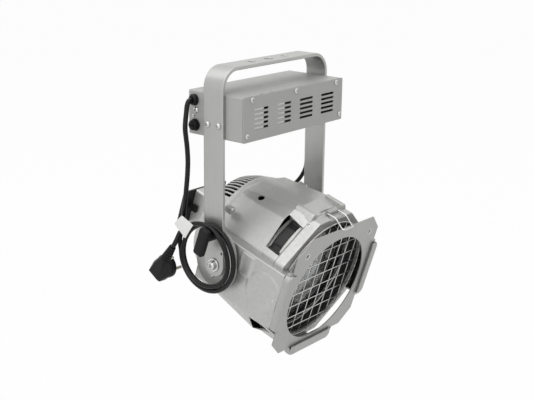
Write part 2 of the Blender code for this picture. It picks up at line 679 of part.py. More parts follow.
def build_box_end(black, glass, steel):
    """Gland, fuse holder with its cap and fuse, and earth screw on the box's left end; lamp gland on its right."""
    gland("cable_gland", black, -1, (-BOX_HALF_WIDTH, GLAND_Y, GLAND_Z), GLAND_NUT_RADIUS, GLAND_NECK_RADIUS,
          GLAND_REACH)
    gland("lamp_gland", black, 1, (BOX_HALF_WIDTH, LEAD_GLAND_Y, LEAD_GLAND_Z), LEAD_GLAND_RADIUS,
          LEAD_NECK_RADIUS, GLAND_REACH)

    flange = 0.002
    inner = BOX_WALL + GAP
    holder = [(-FUSE_BODY_LENGTH, FUSE_NECK_RADIUS), (-inner - 0.003, FUSE_NECK_RADIUS),
              (-inner - 0.003, FUSE_FLANGE_RADIUS), (-inner, FUSE_FLANGE_RADIUS), (-inner, FUSE_NECK_RADIUS),
              (GAP, FUSE_NECK_RADIUS), (GAP, FUSE_FLANGE_RADIUS), (flange, FUSE_FLANGE_RADIUS),
              (flange, FUSE_BORE_RADIUS), (-FUSE_BODY_LENGTH, FUSE_BORE_RADIUS)]
    add_object("fuse_holder", turned("holder", [(-a, r) for a, r in holder], "x", hollow=True), black, None,
               (-BOX_HALF_WIDTH, FUSE_Y, FUSE_Z))
    cap = [(flange + GAP, FUSE_FLANGE_RADIUS * 0.92), (flange + FUSE_CAP_LENGTH * 0.8, FUSE_FLANGE_RADIUS * 0.86),
           (flange + FUSE_CAP_LENGTH, FUSE_FLANGE_RADIUS * 0.7)]
    cap_object = add_object("fuse_cap", turned("cap", [(-a, r) for a, r in cap], "x"), black, None,
                            (-BOX_HALF_WIDTH, FUSE_Y, FUSE_Z))
    coin_slot = block("coin_slot", (0.0030, 0.020, 0.0014), (-flange - FUSE_CAP_LENGTH, 0, 0))
    cut(cap_object, coin_slot)
    fuse = [(flange - GAP, FUSE_RADIUS), (flange - GAP - FUSE_LENGTH, FUSE_RADIUS)]
    add_object("fuse", turned("fuse", [(-a, r) for a, r in fuse], "x", sides=12), glass, None,
               (-BOX_HALF_WIDTH, FUSE_Y, FUSE_Z))
    screw("earth_screw", steel, "x", -1, (-BOX_HALF_WIDTH, EARTH_Y, EARTH_Z), LEG_SCREW_HEAD_RADIUS,
          COVER_SCREW_RADIUS, COVER_SCREW_LENGTH)


def quarter_outline(corners):
    """A whole outline from its left upper quarter, mirrored about both axes, as (x, v)."""
    left = list(corners)
    lower_left = [(x, -v) for x, v in reversed(left)]
    lower_right = [(-x, -v) for x, v in left[1:]]
    upper_right = [(-x, v) for x, v in reversed(left[1:])]
    return np.array(left + lower_left + lower_right + upper_right)


def finer(outline, steps):
    """Each side of an outline parted evenly."""
    ends = np.roll(outline, -1, axis=0)
    share = (np.arange(steps) / steps)[None, :, None]
    return (outline[:, None] * (1 - share) + ends[:, None] * share).reshape(-1, 2)


def casting_sections():
    """Rings of the casting: round at the rear edge, faceted from close behind it to the bezel."""
    facets, shoulder, bezel = (finer(quarter_outline(o), 2) for o in (FACET_OUTLINE, SHOULDER_OUTLINE, BEZEL_OUTLINE))
    rim = facets / np.linalg.norm(facets, axis=1)[:, None] * CASTING_REAR_RADIUS
    sections = [(CASTING_REAR, rim), (FACET_START, facets), (CASTING_SHOULDER, shoulder), (BEZEL_REAR - 0.003, bezel),
                (BEZEL_FRONT, bezel)]
    return [on_axis("y", ring[:, 1], ring[:, 0], np.full(len(ring), -u)) for u, ring in sections]


def casting_bore():
    """Profile of the inside, as (place along Y, radius), open at both ends."""
    rear = CASTING_REAR - 0.002
    return [(-rear, CASTING_REAR_RADIUS - CASTING_WALL), (-REFLECTOR_SEAT, REFLECTOR_SEAT_RADIUS),
            (-REFLECTOR_SEAT, RING_BORE), (-(BEZEL_FRONT - LIP_THICKNESS), RING_BORE),
            (-(BEZEL_FRONT - LIP_THICKNESS), LIP_BORE), (-(BEZEL_FRONT + 0.002), LIP_BORE)]


def window_cutter(side_x, side_v):
    """A box through one diagonal facet, behind the bezel."""
    tangent = Vector((math.cos(WINDOW_ANGLE), 0, math.sin(WINDOW_ANGLE)))
    outward = Vector((-math.sin(WINDOW_ANGLE), 0, math.cos(WINDOW_ANGLE)))
    centre = outward * WINDOW_REACH + tangent * WINDOW_SHIFT
    made = block("window", (WINDOW_SPAN, BEZEL_REAR - WINDOW_REAR, 0.030), (0, 0, 0))
    turn = Matrix((tangent, Vector((0, 1, 0)), outward)).transposed().to_4x4()
    made.transform(Matrix.Translation(centre - Vector((0, (WINDOW_REAR + BEZEL_REAR) / 2, 0))) @ turn)
    made.transform(Matrix.Diagonal((-side_x, 1, side_v, 1)))
    if side_x * side_v > 0:
        made.flip_normals()
    return made


def build_casting(head, cast):
    """The main casting: faceted shell, cheeks, lugs, windows and bezel in one piece."""
    casting = add_object("lamp_housing", triangulated(loft("housing", casting_sections())), cast, head)
    for side in (-1, 1):
        inner, outer, thin = (side * x for x in (CHEEK_X - CHEEK_DEPTH, CHEEK_X, CHEEK_X - CHEEK_WALL))
        step, front = BEZEL_FRONT - 0.0012, GUTTER_REAR - GAP
        outline = [(inner, -CHEEK_REAR), (inner, -step), (thin, -step), (thin, -front), (outer, -front),
                   (outer, -CHEEK_REAR)]
        join(casting, prism("cheek", outline, "z", -CHEEK_HALF_HEIGHT, CHEEK_HALF_HEIGHT))
        for up in (-1, 1):
            outline = [(v * up, -side * x) for x, v in LUG_OUTLINE]
            join(casting, prism("lug", outline, "y", -BEZEL_REAR - 0.002, -CASTING_SHOULDER + 0.002))
    cut(casting, turned("bore", casting_bore(), "y", sides=LARGE_SIDES))
    cut(casting, *[window_cutter(x, v) for x in (-1, 1) for v in (-1, 1)])
    ahead, above = BEZEL_FRONT + 0.004, RECESS_FLOOR + 0.012
    holes = [block("recess", (RECESS_HALF_WIDTH * 2, ahead - RECESS_REAR, above - RECESS_FLOOR),
                   head_point(LATCH_X, (ahead + RECESS_REAR) / 2, (above + RECESS_FLOOR) / 2))]
    for side in (-1, 1):
        holes.append(rod("x", head_point(side * CHEEK_X, 0, 0), PIVOT_BOLT_RADIUS + GAP, 0.012))
    cut(casting, *holes)
    strips = []
    for side in (-1, 1):
        foot = Vector((side * STRIP_HOLE_PLACE[0], 0, STRIP_HOLE_PLACE[1]))
        direction = Vector((side * STRIP_HOLE_WAY[0], 0, STRIP_HOLE_WAY[1]))
        hole = rod("z", (0, 0, 0), STRIP_HOLE_RADIUS, 0.020)
        hole.transform(Matrix.Translation(foot - Vector((0, STRIP_HOLE_U, 0)))
                       @ direction.to_track_quat("Z", "Y").to_matrix().to_4x4())
        strips.append(hole)
    cut(casting, *strips)
    weld = casting.modifiers.new("Weld", "WELD")
    weld.merge_threshold = 0.00002


def build_rear(head, cast, black, ceramic, glass, mirror):
    """Vented dome, lamp base housing, back plate, holder, lamp and reflector."""
    front = CASTING_REAR - GAP
    (near, wide), (far, narrow) = DOME_SECTIONS
    profile = [(-front, CASTING_REAR_RADIUS - 0.001), (near, wide), (far, narrow), (-DOME_REAR, DOME_REAR_RADIUS),
               (-DOME_REAR, BASE_HALF_HEIGHT * 0.6), (-DOME_REAR - DOME_WALL, BASE_HALF_HEIGHT * 0.6),
               (-DOME_REAR - DOME_WALL, DOME_REAR_RADIUS - DOME_WALL), (far - DOME_WALL / 2, narrow - DOME_WALL),
               (near, wide - DOME_WALL), (-front, CASTING_REAR_RADIUS - 0.001 - DOME_WALL)]
    dome = add_object("vented_dome", turned("dome", profile, "y", sides=LARGE_SIDES, hollow=True), cast, head)
    slots = []
    for number in range(FIN_SLOTS):
        x = (number - (FIN_SLOTS - 1) / 2) * FIN_PITCH
        inner = math.sqrt(max(DOME_REAR_RADIUS**2 - x**2, 0)) - 0.016
        slots.append(block("slot", (FIN_SLOT_WIDTH, FIN_SLOT_FRONT - DOME_REAR - 0.004, 0.060),
                           head_point(x, (FIN_SLOT_FRONT + DOME_REAR + 0.004) / 2, inner + 0.030)))
        slots.append(block("slot", (FIN_SLOT_WIDTH, FIN_SLOT_FRONT - DOME_REAR - 0.004, 0.060),
                           head_point(x, (FIN_SLOT_FRONT + DOME_REAR + 0.004) / 2, -inner - 0.030)))
    cut(dome, *slots)

    outline = [(v, x) for x, v in rounded_rectangle(BASE_HALF_WIDTH, BASE_HALF_HEIGHT, BASE_CORNER)]
    base = add_object("lamp_base_housing",
                      prism("base", outline, "y", -DOME_REAR + GAP, -BASE_REAR), cast, head)
    inner = [(v, x) for x, v in rounded_rectangle(BASE_HALF_WIDTH - BASE_WALL, BASE_HALF_HEIGHT - BASE_WALL,
                                                  BASE_CORNER - BASE_WALL)]
    cut(base, prism("base_inside", inner, "y", -DOME_REAR - 0.002, -BASE_REAR + 0.002))

    plate = [(v, x) for x, v in rounded_rectangle(BACK_PLATE_HALF_WIDTH, BACK_PLATE_HALF_HEIGHT, 0.003)]
    add_object("back_plate", prism("plate", plate, "y", -BASE_REAR + GAP,
                                   -BASE_REAR + GAP + BACK_PLATE_THICKNESS), black, head)
    width, depth, height = LATCH_BLOCK
    add_object("cap_latch", block("latch", LATCH_BLOCK, head_point(-BASE_HALF_WIDTH - GAP - width / 2,
                                                                    LATCH_BLOCK_U, 0.001)), black, head)

    holder_rear = BASE_REAR + GAP
    throat = REFLECTOR_SEAT - REFLECTOR_DEPTH
    holder = [(-holder_rear, LAMP_HOLDER_RADIUS * 1.3), (-holder_rear - 0.018, LAMP_HOLDER_RADIUS * 1.3),
              (-holder_rear - 0.018, LAMP_HOLDER_RADIUS), (-throat + 0.012, LAMP_HOLDER_RADIUS)]
    add_object("lamp_holder", turned("holder", holder, "y"), ceramic, head)
    tube_rear = throat - 0.012 + GAP
    lamp = [(-tube_rear, LAMP_TUBE_RADIUS * 1.2), (-tube_rear - 0.010, LAMP_TUBE_RADIUS * 1.2),
            (-tube_rear - 0.014, LAMP_TUBE_RADIUS), (-LAMP_TIP + 0.006, LAMP_TUBE_RADIUS),
            (-LAMP_TIP + 0.002, LAMP_TUBE_RADIUS * 0.8), (-LAMP_TIP, LAMP_TUBE_RADIUS * 0.3)]
    add_object("lamp", turned("lamp", lamp, "y", sides=16), glass, head)

    steps = 6
    bowl_out = []
    bowl_in = []
    for step in range(steps + 1):
        radius = REFLECTOR_THROAT + (REFLECTOR_RIM - REFLECTOR_THROAT) * step / steps
        share = (radius**2 - REFLECTOR_THROAT**2) / (REFLECTOR_RIM**2 - REFLECTOR_THROAT**2)
        place = throat + share * (REFLECTOR_SEAT + GAP - throat)
        bowl_in.append((-place, radius))
        bowl_out.append((-place + REFLECTOR_WALL, radius + REFLECTOR_WALL * 0.4))
    flange_rear = REFLECTOR_SEAT + GAP
    flange = [(-flange_rear, REFLECTOR_RIM + REFLECTOR_WALL), (-flange_rear, RING_BORE - GAP),
              (-flange_rear - REFLECTOR_FLANGE, RING_BORE - GAP),
              (-flange_rear - REFLECTOR_FLANGE, REFLECTOR_RIM)]
    add_object("reflector", turned("reflector", bowl_out[:-1] + flange + bowl_in[:-1][::-1], "y",
                                               sides=28, hollow=True), mirror, head)


def build_lens(head, black, glass, steel):
    """The ring that turns the lens, the lens and the wire that keeps it in the ring."""
    outer = RING_BORE - GAP
    inner = outer - RING_WALL
    front = BEZEL_FRONT - LIP_THICKNESS - GAP
    shelf = LENS_RADIUS - 0.0035
    angle = np.arange(RING_FLUTES * 3) * 2 * math.pi / (RING_FLUTES * 3)
    flute = RING_FLUTE_DEPTH * (np.arange(RING_FLUTES * 3) % 3 == 0)
    rings = []
    for place, radius, fluted in ((RING_REAR, outer, 0), (RING_REAR + 0.002, outer, 1), (front - 0.012, outer, 1),
                                  (front - 0.011, outer, 0), (front, outer, 0), (front, inner, 0), (LENS_U, inner, 0),
                                  (LENS_U, shelf, 0), (LENS_U - 0.004, shelf, 0), (LENS_U - 0.004, inner, 0),
                                  (RING_REAR, inner, 0)):
        r = radius - flute * fluted
        rings.append(on_axis("y", r * np.cos(angle), r * np.sin(angle), np.full(len(angle), -place)))
    add_object("lens_ring", loft("ring", rings, closed=True), black, head)
    rear = LENS_U + GAP
    radius = inner - GAP
    lens = [(-rear, radius), (-rear - LENS_EDGE, radius), (-rear - LENS_EDGE - LENS_CROWN * 0.5, radius * 0.72),
            (-rear - LENS_EDGE - LENS_CROWN * 0.9, radius * 0.35), (-rear - LENS_EDGE - LENS_CROWN, radius * 0.05)]
    add_object("lens", turned("lens", lens, "y", sides=36), glass, head)
    place = rear + LENS_EDGE + GAP + LENS_CLIP_WIRE
    ring_points = []
    for step in range(6):
        a = 2 * math.pi * step / 6
        ring_points.append((-place + LENS_CLIP_WIRE * math.cos(a), radius - LENS_CLIP_WIRE + LENS_CLIP_WIRE * math.sin(a)))
    add_object("lens_clip", turned("clip", ring_points, "y", sides=24, hollow=True), steel, head)


def guard_mesh():
    """Round wire guard: a flat net of square wire, trimmed to a ring that it is fused to."""
    work = []
    half = GUARD_WIRE / 2
    bars = [(i - (GUARD_BARS - 1) / 2) * GUARD_PITCH for i in range(GUARD_BARS)]
    edges = sorted([b - half for b in bars] + [b + half for b in bars])
    reach = GUARD_RADIUS - 0.001
    edges = [-reach, *edges, reach]
    cells = len(edges) - 1
    solid = {(i, j) for i in range(cells) for j in range(cells) if i % 2 == 1 or j % 2 == 1}
    index = {}
    vertices = []

    def vertex(i, j, k):
        if (i, j, k) not in index:
            index[i, j, k] = len(vertices)
            vertices.append(head_point(edges[i], GUARD_U + (k - 0.5) * GUARD_WIRE, edges[j]))
        return index[i, j, k]

    for i, j in solid:
        for k in (0, 1):
            work.append([vertex(i, j, k), vertex(i + 1, j, k), vertex(i + 1, j + 1, k), vertex(i, j + 1, k)])
        for di, dj, a, b in ((-1, 0, (0, 0), (0, 1)), (1, 0, (1, 0), (1, 1)), (0, -1, (0, 0), (1, 0)),
                             (0, 1, (0, 1), (1, 1))):
            if (i + di, j + dj) not in solid:
                p, q = (i + a[0], j + a[1]), (i + b[0], j + b[1])
                work.append([vertex(*p, 0), vertex(*q, 0), vertex(*q, 1), vertex(*p, 1)])
    return mesh_from("guard", vertices, work)


def build_guard(head, wire):
    """The guard behind the colour frame."""
    guard = add_object("wire_guard", guard_mesh(), wire, head)
    trim = turned("trim", [(-GUARD_U - 0.01, GUARD_RADIUS + 0.08), (-GUARD_U + 0.01, GUARD_RADIUS + 0.08),
                           (-GUARD_U + 0.01, GUARD_RADIUS - 0.002), (-GUARD_U - 0.01, GUARD_RADIUS - 0.002)], "y",
                  sides=48, hollow=True)
    cut(guard, trim)
    thick = GUARD_WIRE * 0.7
    join(guard, turned("hoop", [(-GUARD_U - thick, GUARD_RADIUS), (-GUARD_U + thick, GUARD_RADIUS),
                                (-GUARD_U + thick, GUARD_RADIUS - 0.004), (-GUARD_U - thick, GUARD_RADIUS - 0.004)],
                       "y", sides=48, hollow=True))


def build_colour_frame(head, aluminium):
    """The square colour frame that lifts out of the gutters."""
    c = PLATE_HALF - PLATE_CHAMFER
    h = PLATE_HALF
    outline = [(c, h), (h, c), (h, -c), (c, -h), (-c, -h), (-h, -c), (-h, c), (-c, h)]
    frame = add_object("colour_frame",
                       prism("frame", [(v, x) for x, v in outline], "y", -PLATE_U - PLATE_THICKNESS / 2,
                             -PLATE_U + PLATE_THICKNESS / 2), aluminium, head)
    through = PLATE_THICKNESS * 2
    cut(frame, rod("y", head_point(0, PLATE_U, -PLATE_OPENING_DROP), PLATE_OPENING_RADIUS, through, LARGE_SIDES),
        *[rod("y", head_point(side * PLATE_RIVET_X, PLATE_U, PLATE_RIVET_V), PLATE_RIVET_RADIUS, through, 16)
          for side in (-1, 1)])


def gutter_outline(seat, web):
    """C section that holds one edge of the colour frame, as (across, u), opening towards the middle."""
    rear, front = GUTTER_REAR, GUTTER_FRONT
    lip = PLATE_HALF - GUTTER_COVER
    r = 0.0035
    outer = [(web, rear), (web, front - r), (web - 0.3 * r, front - 0.3 * r), (web - r, front), (lip, front)]
    inner = [(lip, front - GUTTER_WALL), (seat, front - GUTTER_WALL), (seat, rear + GUTTER_WALL),
             (lip, rear + GUTTER_WALL), (lip, rear)]
    return outer + inner


def build_gutters(head, aluminium):
    """Side and bottom channels for the colour frame."""
    for side, label in ((-1, "left"), (1, "right")):
        outline = [(side * x, -u) for x, u in gutter_outline(PLATE_HALF + GUTTER_PLAY, CHEEK_X + 0.001)]
        add_object(f"frame_gutter_{label}", prism("gutter", outline, "z", -GUTTER_HALF_LENGTH, GUTTER_HALF_LENGTH),
                   aluminium, head)
    outline = [(-u, -a) for a, u in gutter_outline(PLATE_HALF + GAP, PLATE_HALF + GUTTER_BOTTOM_DEPTH)]
    gutter = add_object("frame_gutter_bottom",
                        prism("gutter", outline, "x", -GUTTER_BOTTOM_HALF_LENGTH, GUTTER_BOTTOM_HALF_LENGTH),
                        aluminium, head)
    top = -BEZEL_OUTLINE[0][1] - GAP
    front, rear = -GUTTER_REAR - 0.001, -BEZEL_FRONT + GUTTER_FOOT_DEPTH
    foot = [(front, top - GUTTER_WALL), (front, top), (rear, top), (rear, top - GUTTER_WALL)]
    join(gutter, prism("foot", foot, "x", -0.020, 0.020))


def build_retainer(head, steel, aluminium):
    """Wire bail over the frame's top edge, and the block that its ends turn in."""
    width, depth, height = RETAINER_BLOCK
    pivot = head_point(LATCH_X, RETAINER_PIVOT_U, RETAINER_PIVOT_V)
    holder = add_object("retainer_block",
                        block("holder", RETAINER_BLOCK, (LATCH_X, -RETAINER_PIVOT_U, RECESS_FLOOR + GAP + height / 2)),
                        aluminium, head)
    cut(holder, rod("x", pivot, RETAINER_WIRE + GAP, width, 12))
    half = RETAINER_HALF_WIDTH
    drop = PLATE_HALF + GAP + RETAINER_WIRE - RETAINER_PIVOT_V
    reach = PLATE_U + 0.0045 - RETAINER_PIVOT_U
    level = BEZEL_FRONT + 0.0025 - RETAINER_PIVOT_U
    points = [(-half + 0.006, 0, 0), (-half, 0, 0), (-half, -level, 0), (-half, -reach + 0.004, drop),
              (-half + 0.003, -reach, drop), (half - 0.003, -reach, drop), (half, -reach + 0.004, drop),
              (half, -level, 0), (half, 0, 0), (half - 0.006, 0, 0)]
    bail = tube("frame_retainer", points, RETAINER_WIRE, steel, 1, head)
    bail.location = pivot


def build_tilt_lock(black, steel):
    """Stud through the left leg, and the clamping lever on it."""
    stud_in = -PIVOT_PLATE_INNER - 0.0002
    stud = [(stud_in, LOCK_STUD_RADIUS), (-YOKE_HALF_WIDTH - LOCK_HUB_LENGTH * 0.7, LOCK_STUD_RADIUS)]
    add_object("tilt_stud", turned("stud", stud, "x", sides=16), steel, None, (0, 0, LOCK_Z))
    hub_in = -YOKE_HALF_WIDTH - GAP
    hub_out = hub_in - LOCK_HUB_LENGTH
    lever = add_object("tilt_lever", turned("hub", [(hub_in, LOCK_HUB_RADIUS), (hub_out - 0.004, LOCK_HUB_RADIUS)],
                                            "x"), black, None, (0, 0, LOCK_Z))
    paddle = [(y, z - (LOCK_PADDLE_BOTTOM - LOCK_PADDLE_TOP) / 2)
              for y, z in rounded_rectangle(LOCK_PADDLE_WIDTH / 2, (LOCK_PADDLE_TOP + LOCK_PADDLE_BOTTOM) / 2,
                                            LOCK_PADDLE_CORNER)]
    join(lever, prism("paddle", paddle, "x", hub_out, hub_out - LOCK_PADDLE_THICKNESS))
    cut(lever, rod("x", (hub_in, 0, 0), LOCK_STUD_RADIUS + GAP, LOCK_HUB_LENGTH * 0.7 + GAP * 2, 16))


def ease(share):
    """Smooth step from 0 to 1."""
    share = np.clip(share, 0, 1)
    return share * share * (3 - 2 * share)


def coil_points():
    """The hanging coil: an outer turn that goes in, an inner turn, then out over the first strand."""
    count = round(COIL_TURNS * COIL_POINTS_PER_TURN) + 1
    turn = np.linspace(0, COIL_TURNS, count)
    radius = (COIL_OUTER_TURN + (COIL_INNER_TURN - COIL_OUTER_TURN) * ease((turn - 0.62) / 0.36)
              + (COIL_EXIT_TURN - COIL_INNER_TURN) * ease((turn - 1.40) / 0.36))
    x = COIL_X - COIL_INWARD_STEP * ease((turn - 0.62) / 0.36) - COIL_LAYER_STEP * ease((turn - 1.36) / 0.26)
    angle = -2 * math.pi * turn
    return np.stack([x, COIL_CENTRE_Y + radius * np.cos(angle), COIL_CENTRE_Z + radius * np.sin(angle)], axis=1)


def self_gap(points, radius, apart):
    """Least clear space between strands of one tube, for points at least some way apart along it."""
    fine = smooth_route(points, len(points) * 6)
    step = np.linalg.norm(fine[1] - fine[0])
    distance = np.linalg.norm(fine[:, None] - fine[None], axis=2)
    row, column = np.indices(distance.shape)
    return float(distance[np.abs(row - column) * step > apart].min() - 2 * radius)


def build_mains_lead(black):
    """Mains lead from the gland down into the coil on the lever's hub, and out to the plug."""
    coil = coil_points()
    start, after = coil[0], coil[1]
    first_way = (start - after) / np.linalg.norm(start - after)
    face = -BOX_HALF_WIDTH - GLAND_REACH - GAP
    run = [(face, GLAND_Y, GLAND_Z), (face - 0.0046, GLAND_Y + 0.0001, GLAND_Z - 0.0004)]
    run += [(-YOKE_HALF_WIDTH - out, y, z) for out, y, z in CORD_RUN]
    run += [tuple(start + first_way * 0.016), tuple(start + first_way * GAP)]
    tube("mains_lead", squared(smooth_route(run, CORD_RUN_POINTS), (-1, 0, 0), -first_way), CORD_RADIUS, black)
    tube("mains_coil", coil, CORD_RADIUS, black, 1)
    print("least gap in the coil, mm:", round(self_gap(coil, CORD_RADIUS, 0.06) * 1000, 2))
    end, before = coil[-1], coil[-2]
    last_way = (end - before) / np.linalg.norm(end - before)
    frame = plug_frame()
    boot = [np.array(frame @ Vector((0, -PLUG_CORD_DEPTH, PLUG_BOOT_START + reach))) for reach in (0.010, GAP)]
    tail = [end + last_way * GAP, end + last_way * 0.010, *boot]
    tube("plug_tail", squared(smooth_route(tail, CORD_TAIL_POINTS), last_way, tail[-1] - tail[-2]), CORD_RADIUS,
         black)


def plug_frame():
    """The plug's own frame: Y along its pins, Z along the cord that leaves it, origin mid face."""
    cord = Vector(PLUG_CORD_WAY).normalized()
    pins = Matrix.Rotation(PLUG_TWIST, 3, cord) @ Vector((1, 0, 0))
    across = pins.cross(cord)
    return Matrix.Translation(PLUG_CENTRE) @ Matrix((across, pins, cord)).transposed().to_4x4()


def build_plug(black, brass):
    """Angled mains plug: ribbed boot, wedge-shaped body, round face and two pins."""
    frame = plug_frame()
    hull = bmesh.new()
    for step in range(24):
        a = math.radians(15 * step)
        hull.verts.new((PLUG_FACE_RADIUS * 0.94 * math.cos(a), -PLUG_FLANGE + 0.001,
                        PLUG_FACE_RADIUS * 0.94 * math.sin(a)))
        hull.verts.new((PLUG_BOOT_THICK * math.cos(a), -PLUG_CORD_DEPTH + PLUG_BOOT_THICK * math.sin(a),
                        PLUG_BOOT_END))
    for side in (-1, 1):
        for across, depth, up in PLUG_CORNERS:
            hull.verts.new((side * across, -depth, up))
    bmesh.ops.convex_hull(hull, input=hull.verts)
    loose = [v for v in hull.verts if not v.link_faces]
    bmesh.ops.delete(hull, geom=loose, context="VERTS")
    body = bpy.data.meshes.new("plug")
    hull.to_mesh(body)
    hull.free()
    body.transform(frame)
    plug = add_object("plug", body, black)

    flange = turned("flange", [(-PLUG_FLANGE, PLUG_FACE_RADIUS), (0.0, PLUG_FACE_RADIUS)], "y", sides=28)
    flange.transform(frame)
    join(plug, flange)
    profile = [(PLUG_BOOT_END - 0.002, PLUG_BOOT_THICK * 0.96)]
    pitch = (PLUG_BOOT_START - PLUG_BOOT_END) / (PLUG_RIBS + 0.5)
    for rib in range(PLUG_RIBS):
        place = PLUG_BOOT_END + pitch * (rib + 0.35)
        radius = PLUG_BOOT_THICK + (PLUG_BOOT_THIN - PLUG_BOOT_THICK) * (rib + 1) / (PLUG_RIBS + 1)
        profile += [(place, radius), (place + 0.0002, radius - 0.0012), (place + 0.0014, radius - 0.0012),
                    (place + 0.0016, radius)]
    profile.append((PLUG_BOOT_START, PLUG_BOOT_THIN))
    boot = turned("boot", profile, "z", (0, -PLUG_CORD_DEPTH, 0), sides=16)
    boot.transform(frame)
    join(plug, boot)

    sockets = []
    for side, label in ((-1, "rear"), (1, "front")):
        place = (side * PLUG_PIN_PITCH / 2, 0, 0)
        socket = rod("y", place, PLUG_PIN_RADIUS + GAP, PLUG_PIN_ROOT, 12)
        socket.transform(frame)
        sockets.append(socket)
        pin = turned("pin", [(-PLUG_PIN_ROOT + GAP, PLUG_PIN_RADIUS), (PLUG_PIN_LENGTH - 0.0015, PLUG_PIN_RADIUS),
                             (PLUG_PIN_LENGTH, PLUG_PIN_RADIUS * 0.5)], "y", place, 12)
        pin.transform(frame)
        add_object(f"plug_pin_{label}", pin, brass)
    cut(plug, *sockets)


def build_lamp_lead(head, black):
    """Lead from the box's right end to the lamp base, down behind the right leg, and its strain relief."""
    entry_x = BASE_HALF_WIDTH + GAP
    entry = [(entry_x, LAMP_LEAD_RADIUS * 2.2), (entry_x + 0.005, LAMP_LEAD_RADIUS * 2.2),
             (entry_x + 0.012, LAMP_LEAD_RADIUS * 1.4)]
    add_object("lead_entry", turned("entry", entry, "x"), black, head, head_point(0, LEAD_ENTRY_U, 0))
    turn = Matrix.Rotation(HEAD_TILT, 3, "X")
    end = Vector((0, 0, -PIVOT_DROP)) + turn @ head_point(entry_x + 0.012 + GAP, LEAD_ENTRY_U, 0)
    face = BOX_HALF_WIDTH + GLAND_REACH + GAP
    controls = [(face, LEAD_GLAND_Y, LEAD_GLAND_Z), (face + 0.0046, LEAD_GLAND_Y, LEAD_GLAND_Z - 0.0004),
                *[(YOKE_HALF_WIDTH + out, y, z) for out, y, z in LAMP_LEAD_RUN],
                tuple(end + Vector((0.016, 0, 0))), tuple(end)]
    tube("lamp_lead", squared(smooth_route(controls, LAMP_LEAD_POINTS), (1, 0, 0), (-1, 0, 0)),
         LAMP_LEAD_RADIUS, black)


def main():
    """Build the whole spotlight."""
    for old in list(bpy.data.objects):
        bpy.data.objects.remove(old, do_unlink=True)
    satin = material("satin_aluminium", (0.70, 0.70, 0.69), 0.42, 0.9)
    cast = material("polished_casting", (0.74, 0.74, 0.73), 0.34, 0.9)
    paint = material("grey_paint", (0.62, 0.62, 0.61), 0.5, 0.3)
    steel = material("zinc_steel", (0.76, 0.76, 0.75), 0.35, 1.0)
    mirror = material("bright_aluminium", (0.90, 0.90, 0.90), 0.10, 1.0)
    black = material("black_plastic", (0.13, 0.13, 0.12), 0.5)
    rubber = material("black_rubber", (0.12, 0.12, 0.12), 0.6)
    paper = material("white_paper", (0.93, 0.93, 0.92), 0.8)
    ceramic = material("white_ceramic", (0.90, 0.89, 0.86), 0.5)
    glass = material("clear_glass", (0.90, 0.92, 0.93), 0.05)
    brass = material("nickel_brass", (0.72, 0.70, 0.66), 0.3, 1.0)

    head = bpy.data.objects.new("head_axis", None)
    bpy.context.scene.collection.objects.link(head)
    head.location = (0, 0, -PIVOT_DROP)
    head.rotation_euler = (HEAD_TILT, 0, 0)

    build_yoke(satin)
    for side, label in ((-1, "left"), (1, "right")):
        build_pivot(side, label, steel, satin)
    build_ballast_box(paint, steel)
    build_ballast_inside(black, ceramic, steel)
    build_box_end(black, glass, steel)
    build_tilt_lock(black, steel)
    build_mains_lead(rubber)
    build_plug(rubber, brass)
    tag = prism("tag", TAG_CORNERS, "x", TAG_X - TAG_THICKNESS / 2, TAG_X + TAG_THICKNESS / 2)
    add_object("cord_tag", tag, paper)
    build_lamp_lead(head, rubber)
    build_casting(head, cast)
    build_rear(head, cast, black, ceramic, glass, mirror)
    build_lens(head, black, glass, steel)
    build_guard(head, steel)
    build_colour_frame(head, satin)
    build_gutters(head, satin)
    build_retainer(head, steel, satin)
    bpy.context.view_layer.update()


main()
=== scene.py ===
"""Looks of a multi-lens spotlight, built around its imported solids.

Units are metres, +Z is up, the beam leaves towards -Y. Pieces of the head are worked out in the head's own
level frame, with the tilt axis at its origin, and HEAD turns them into the row frame. u is the distance
forward along the beam, so y is -u there, and v is the height over the axis.
"""

from __future__ import annotations

import json
import logging
import math
from dataclasses import dataclass
from enum import Enum
from typing import Callable, Sequence

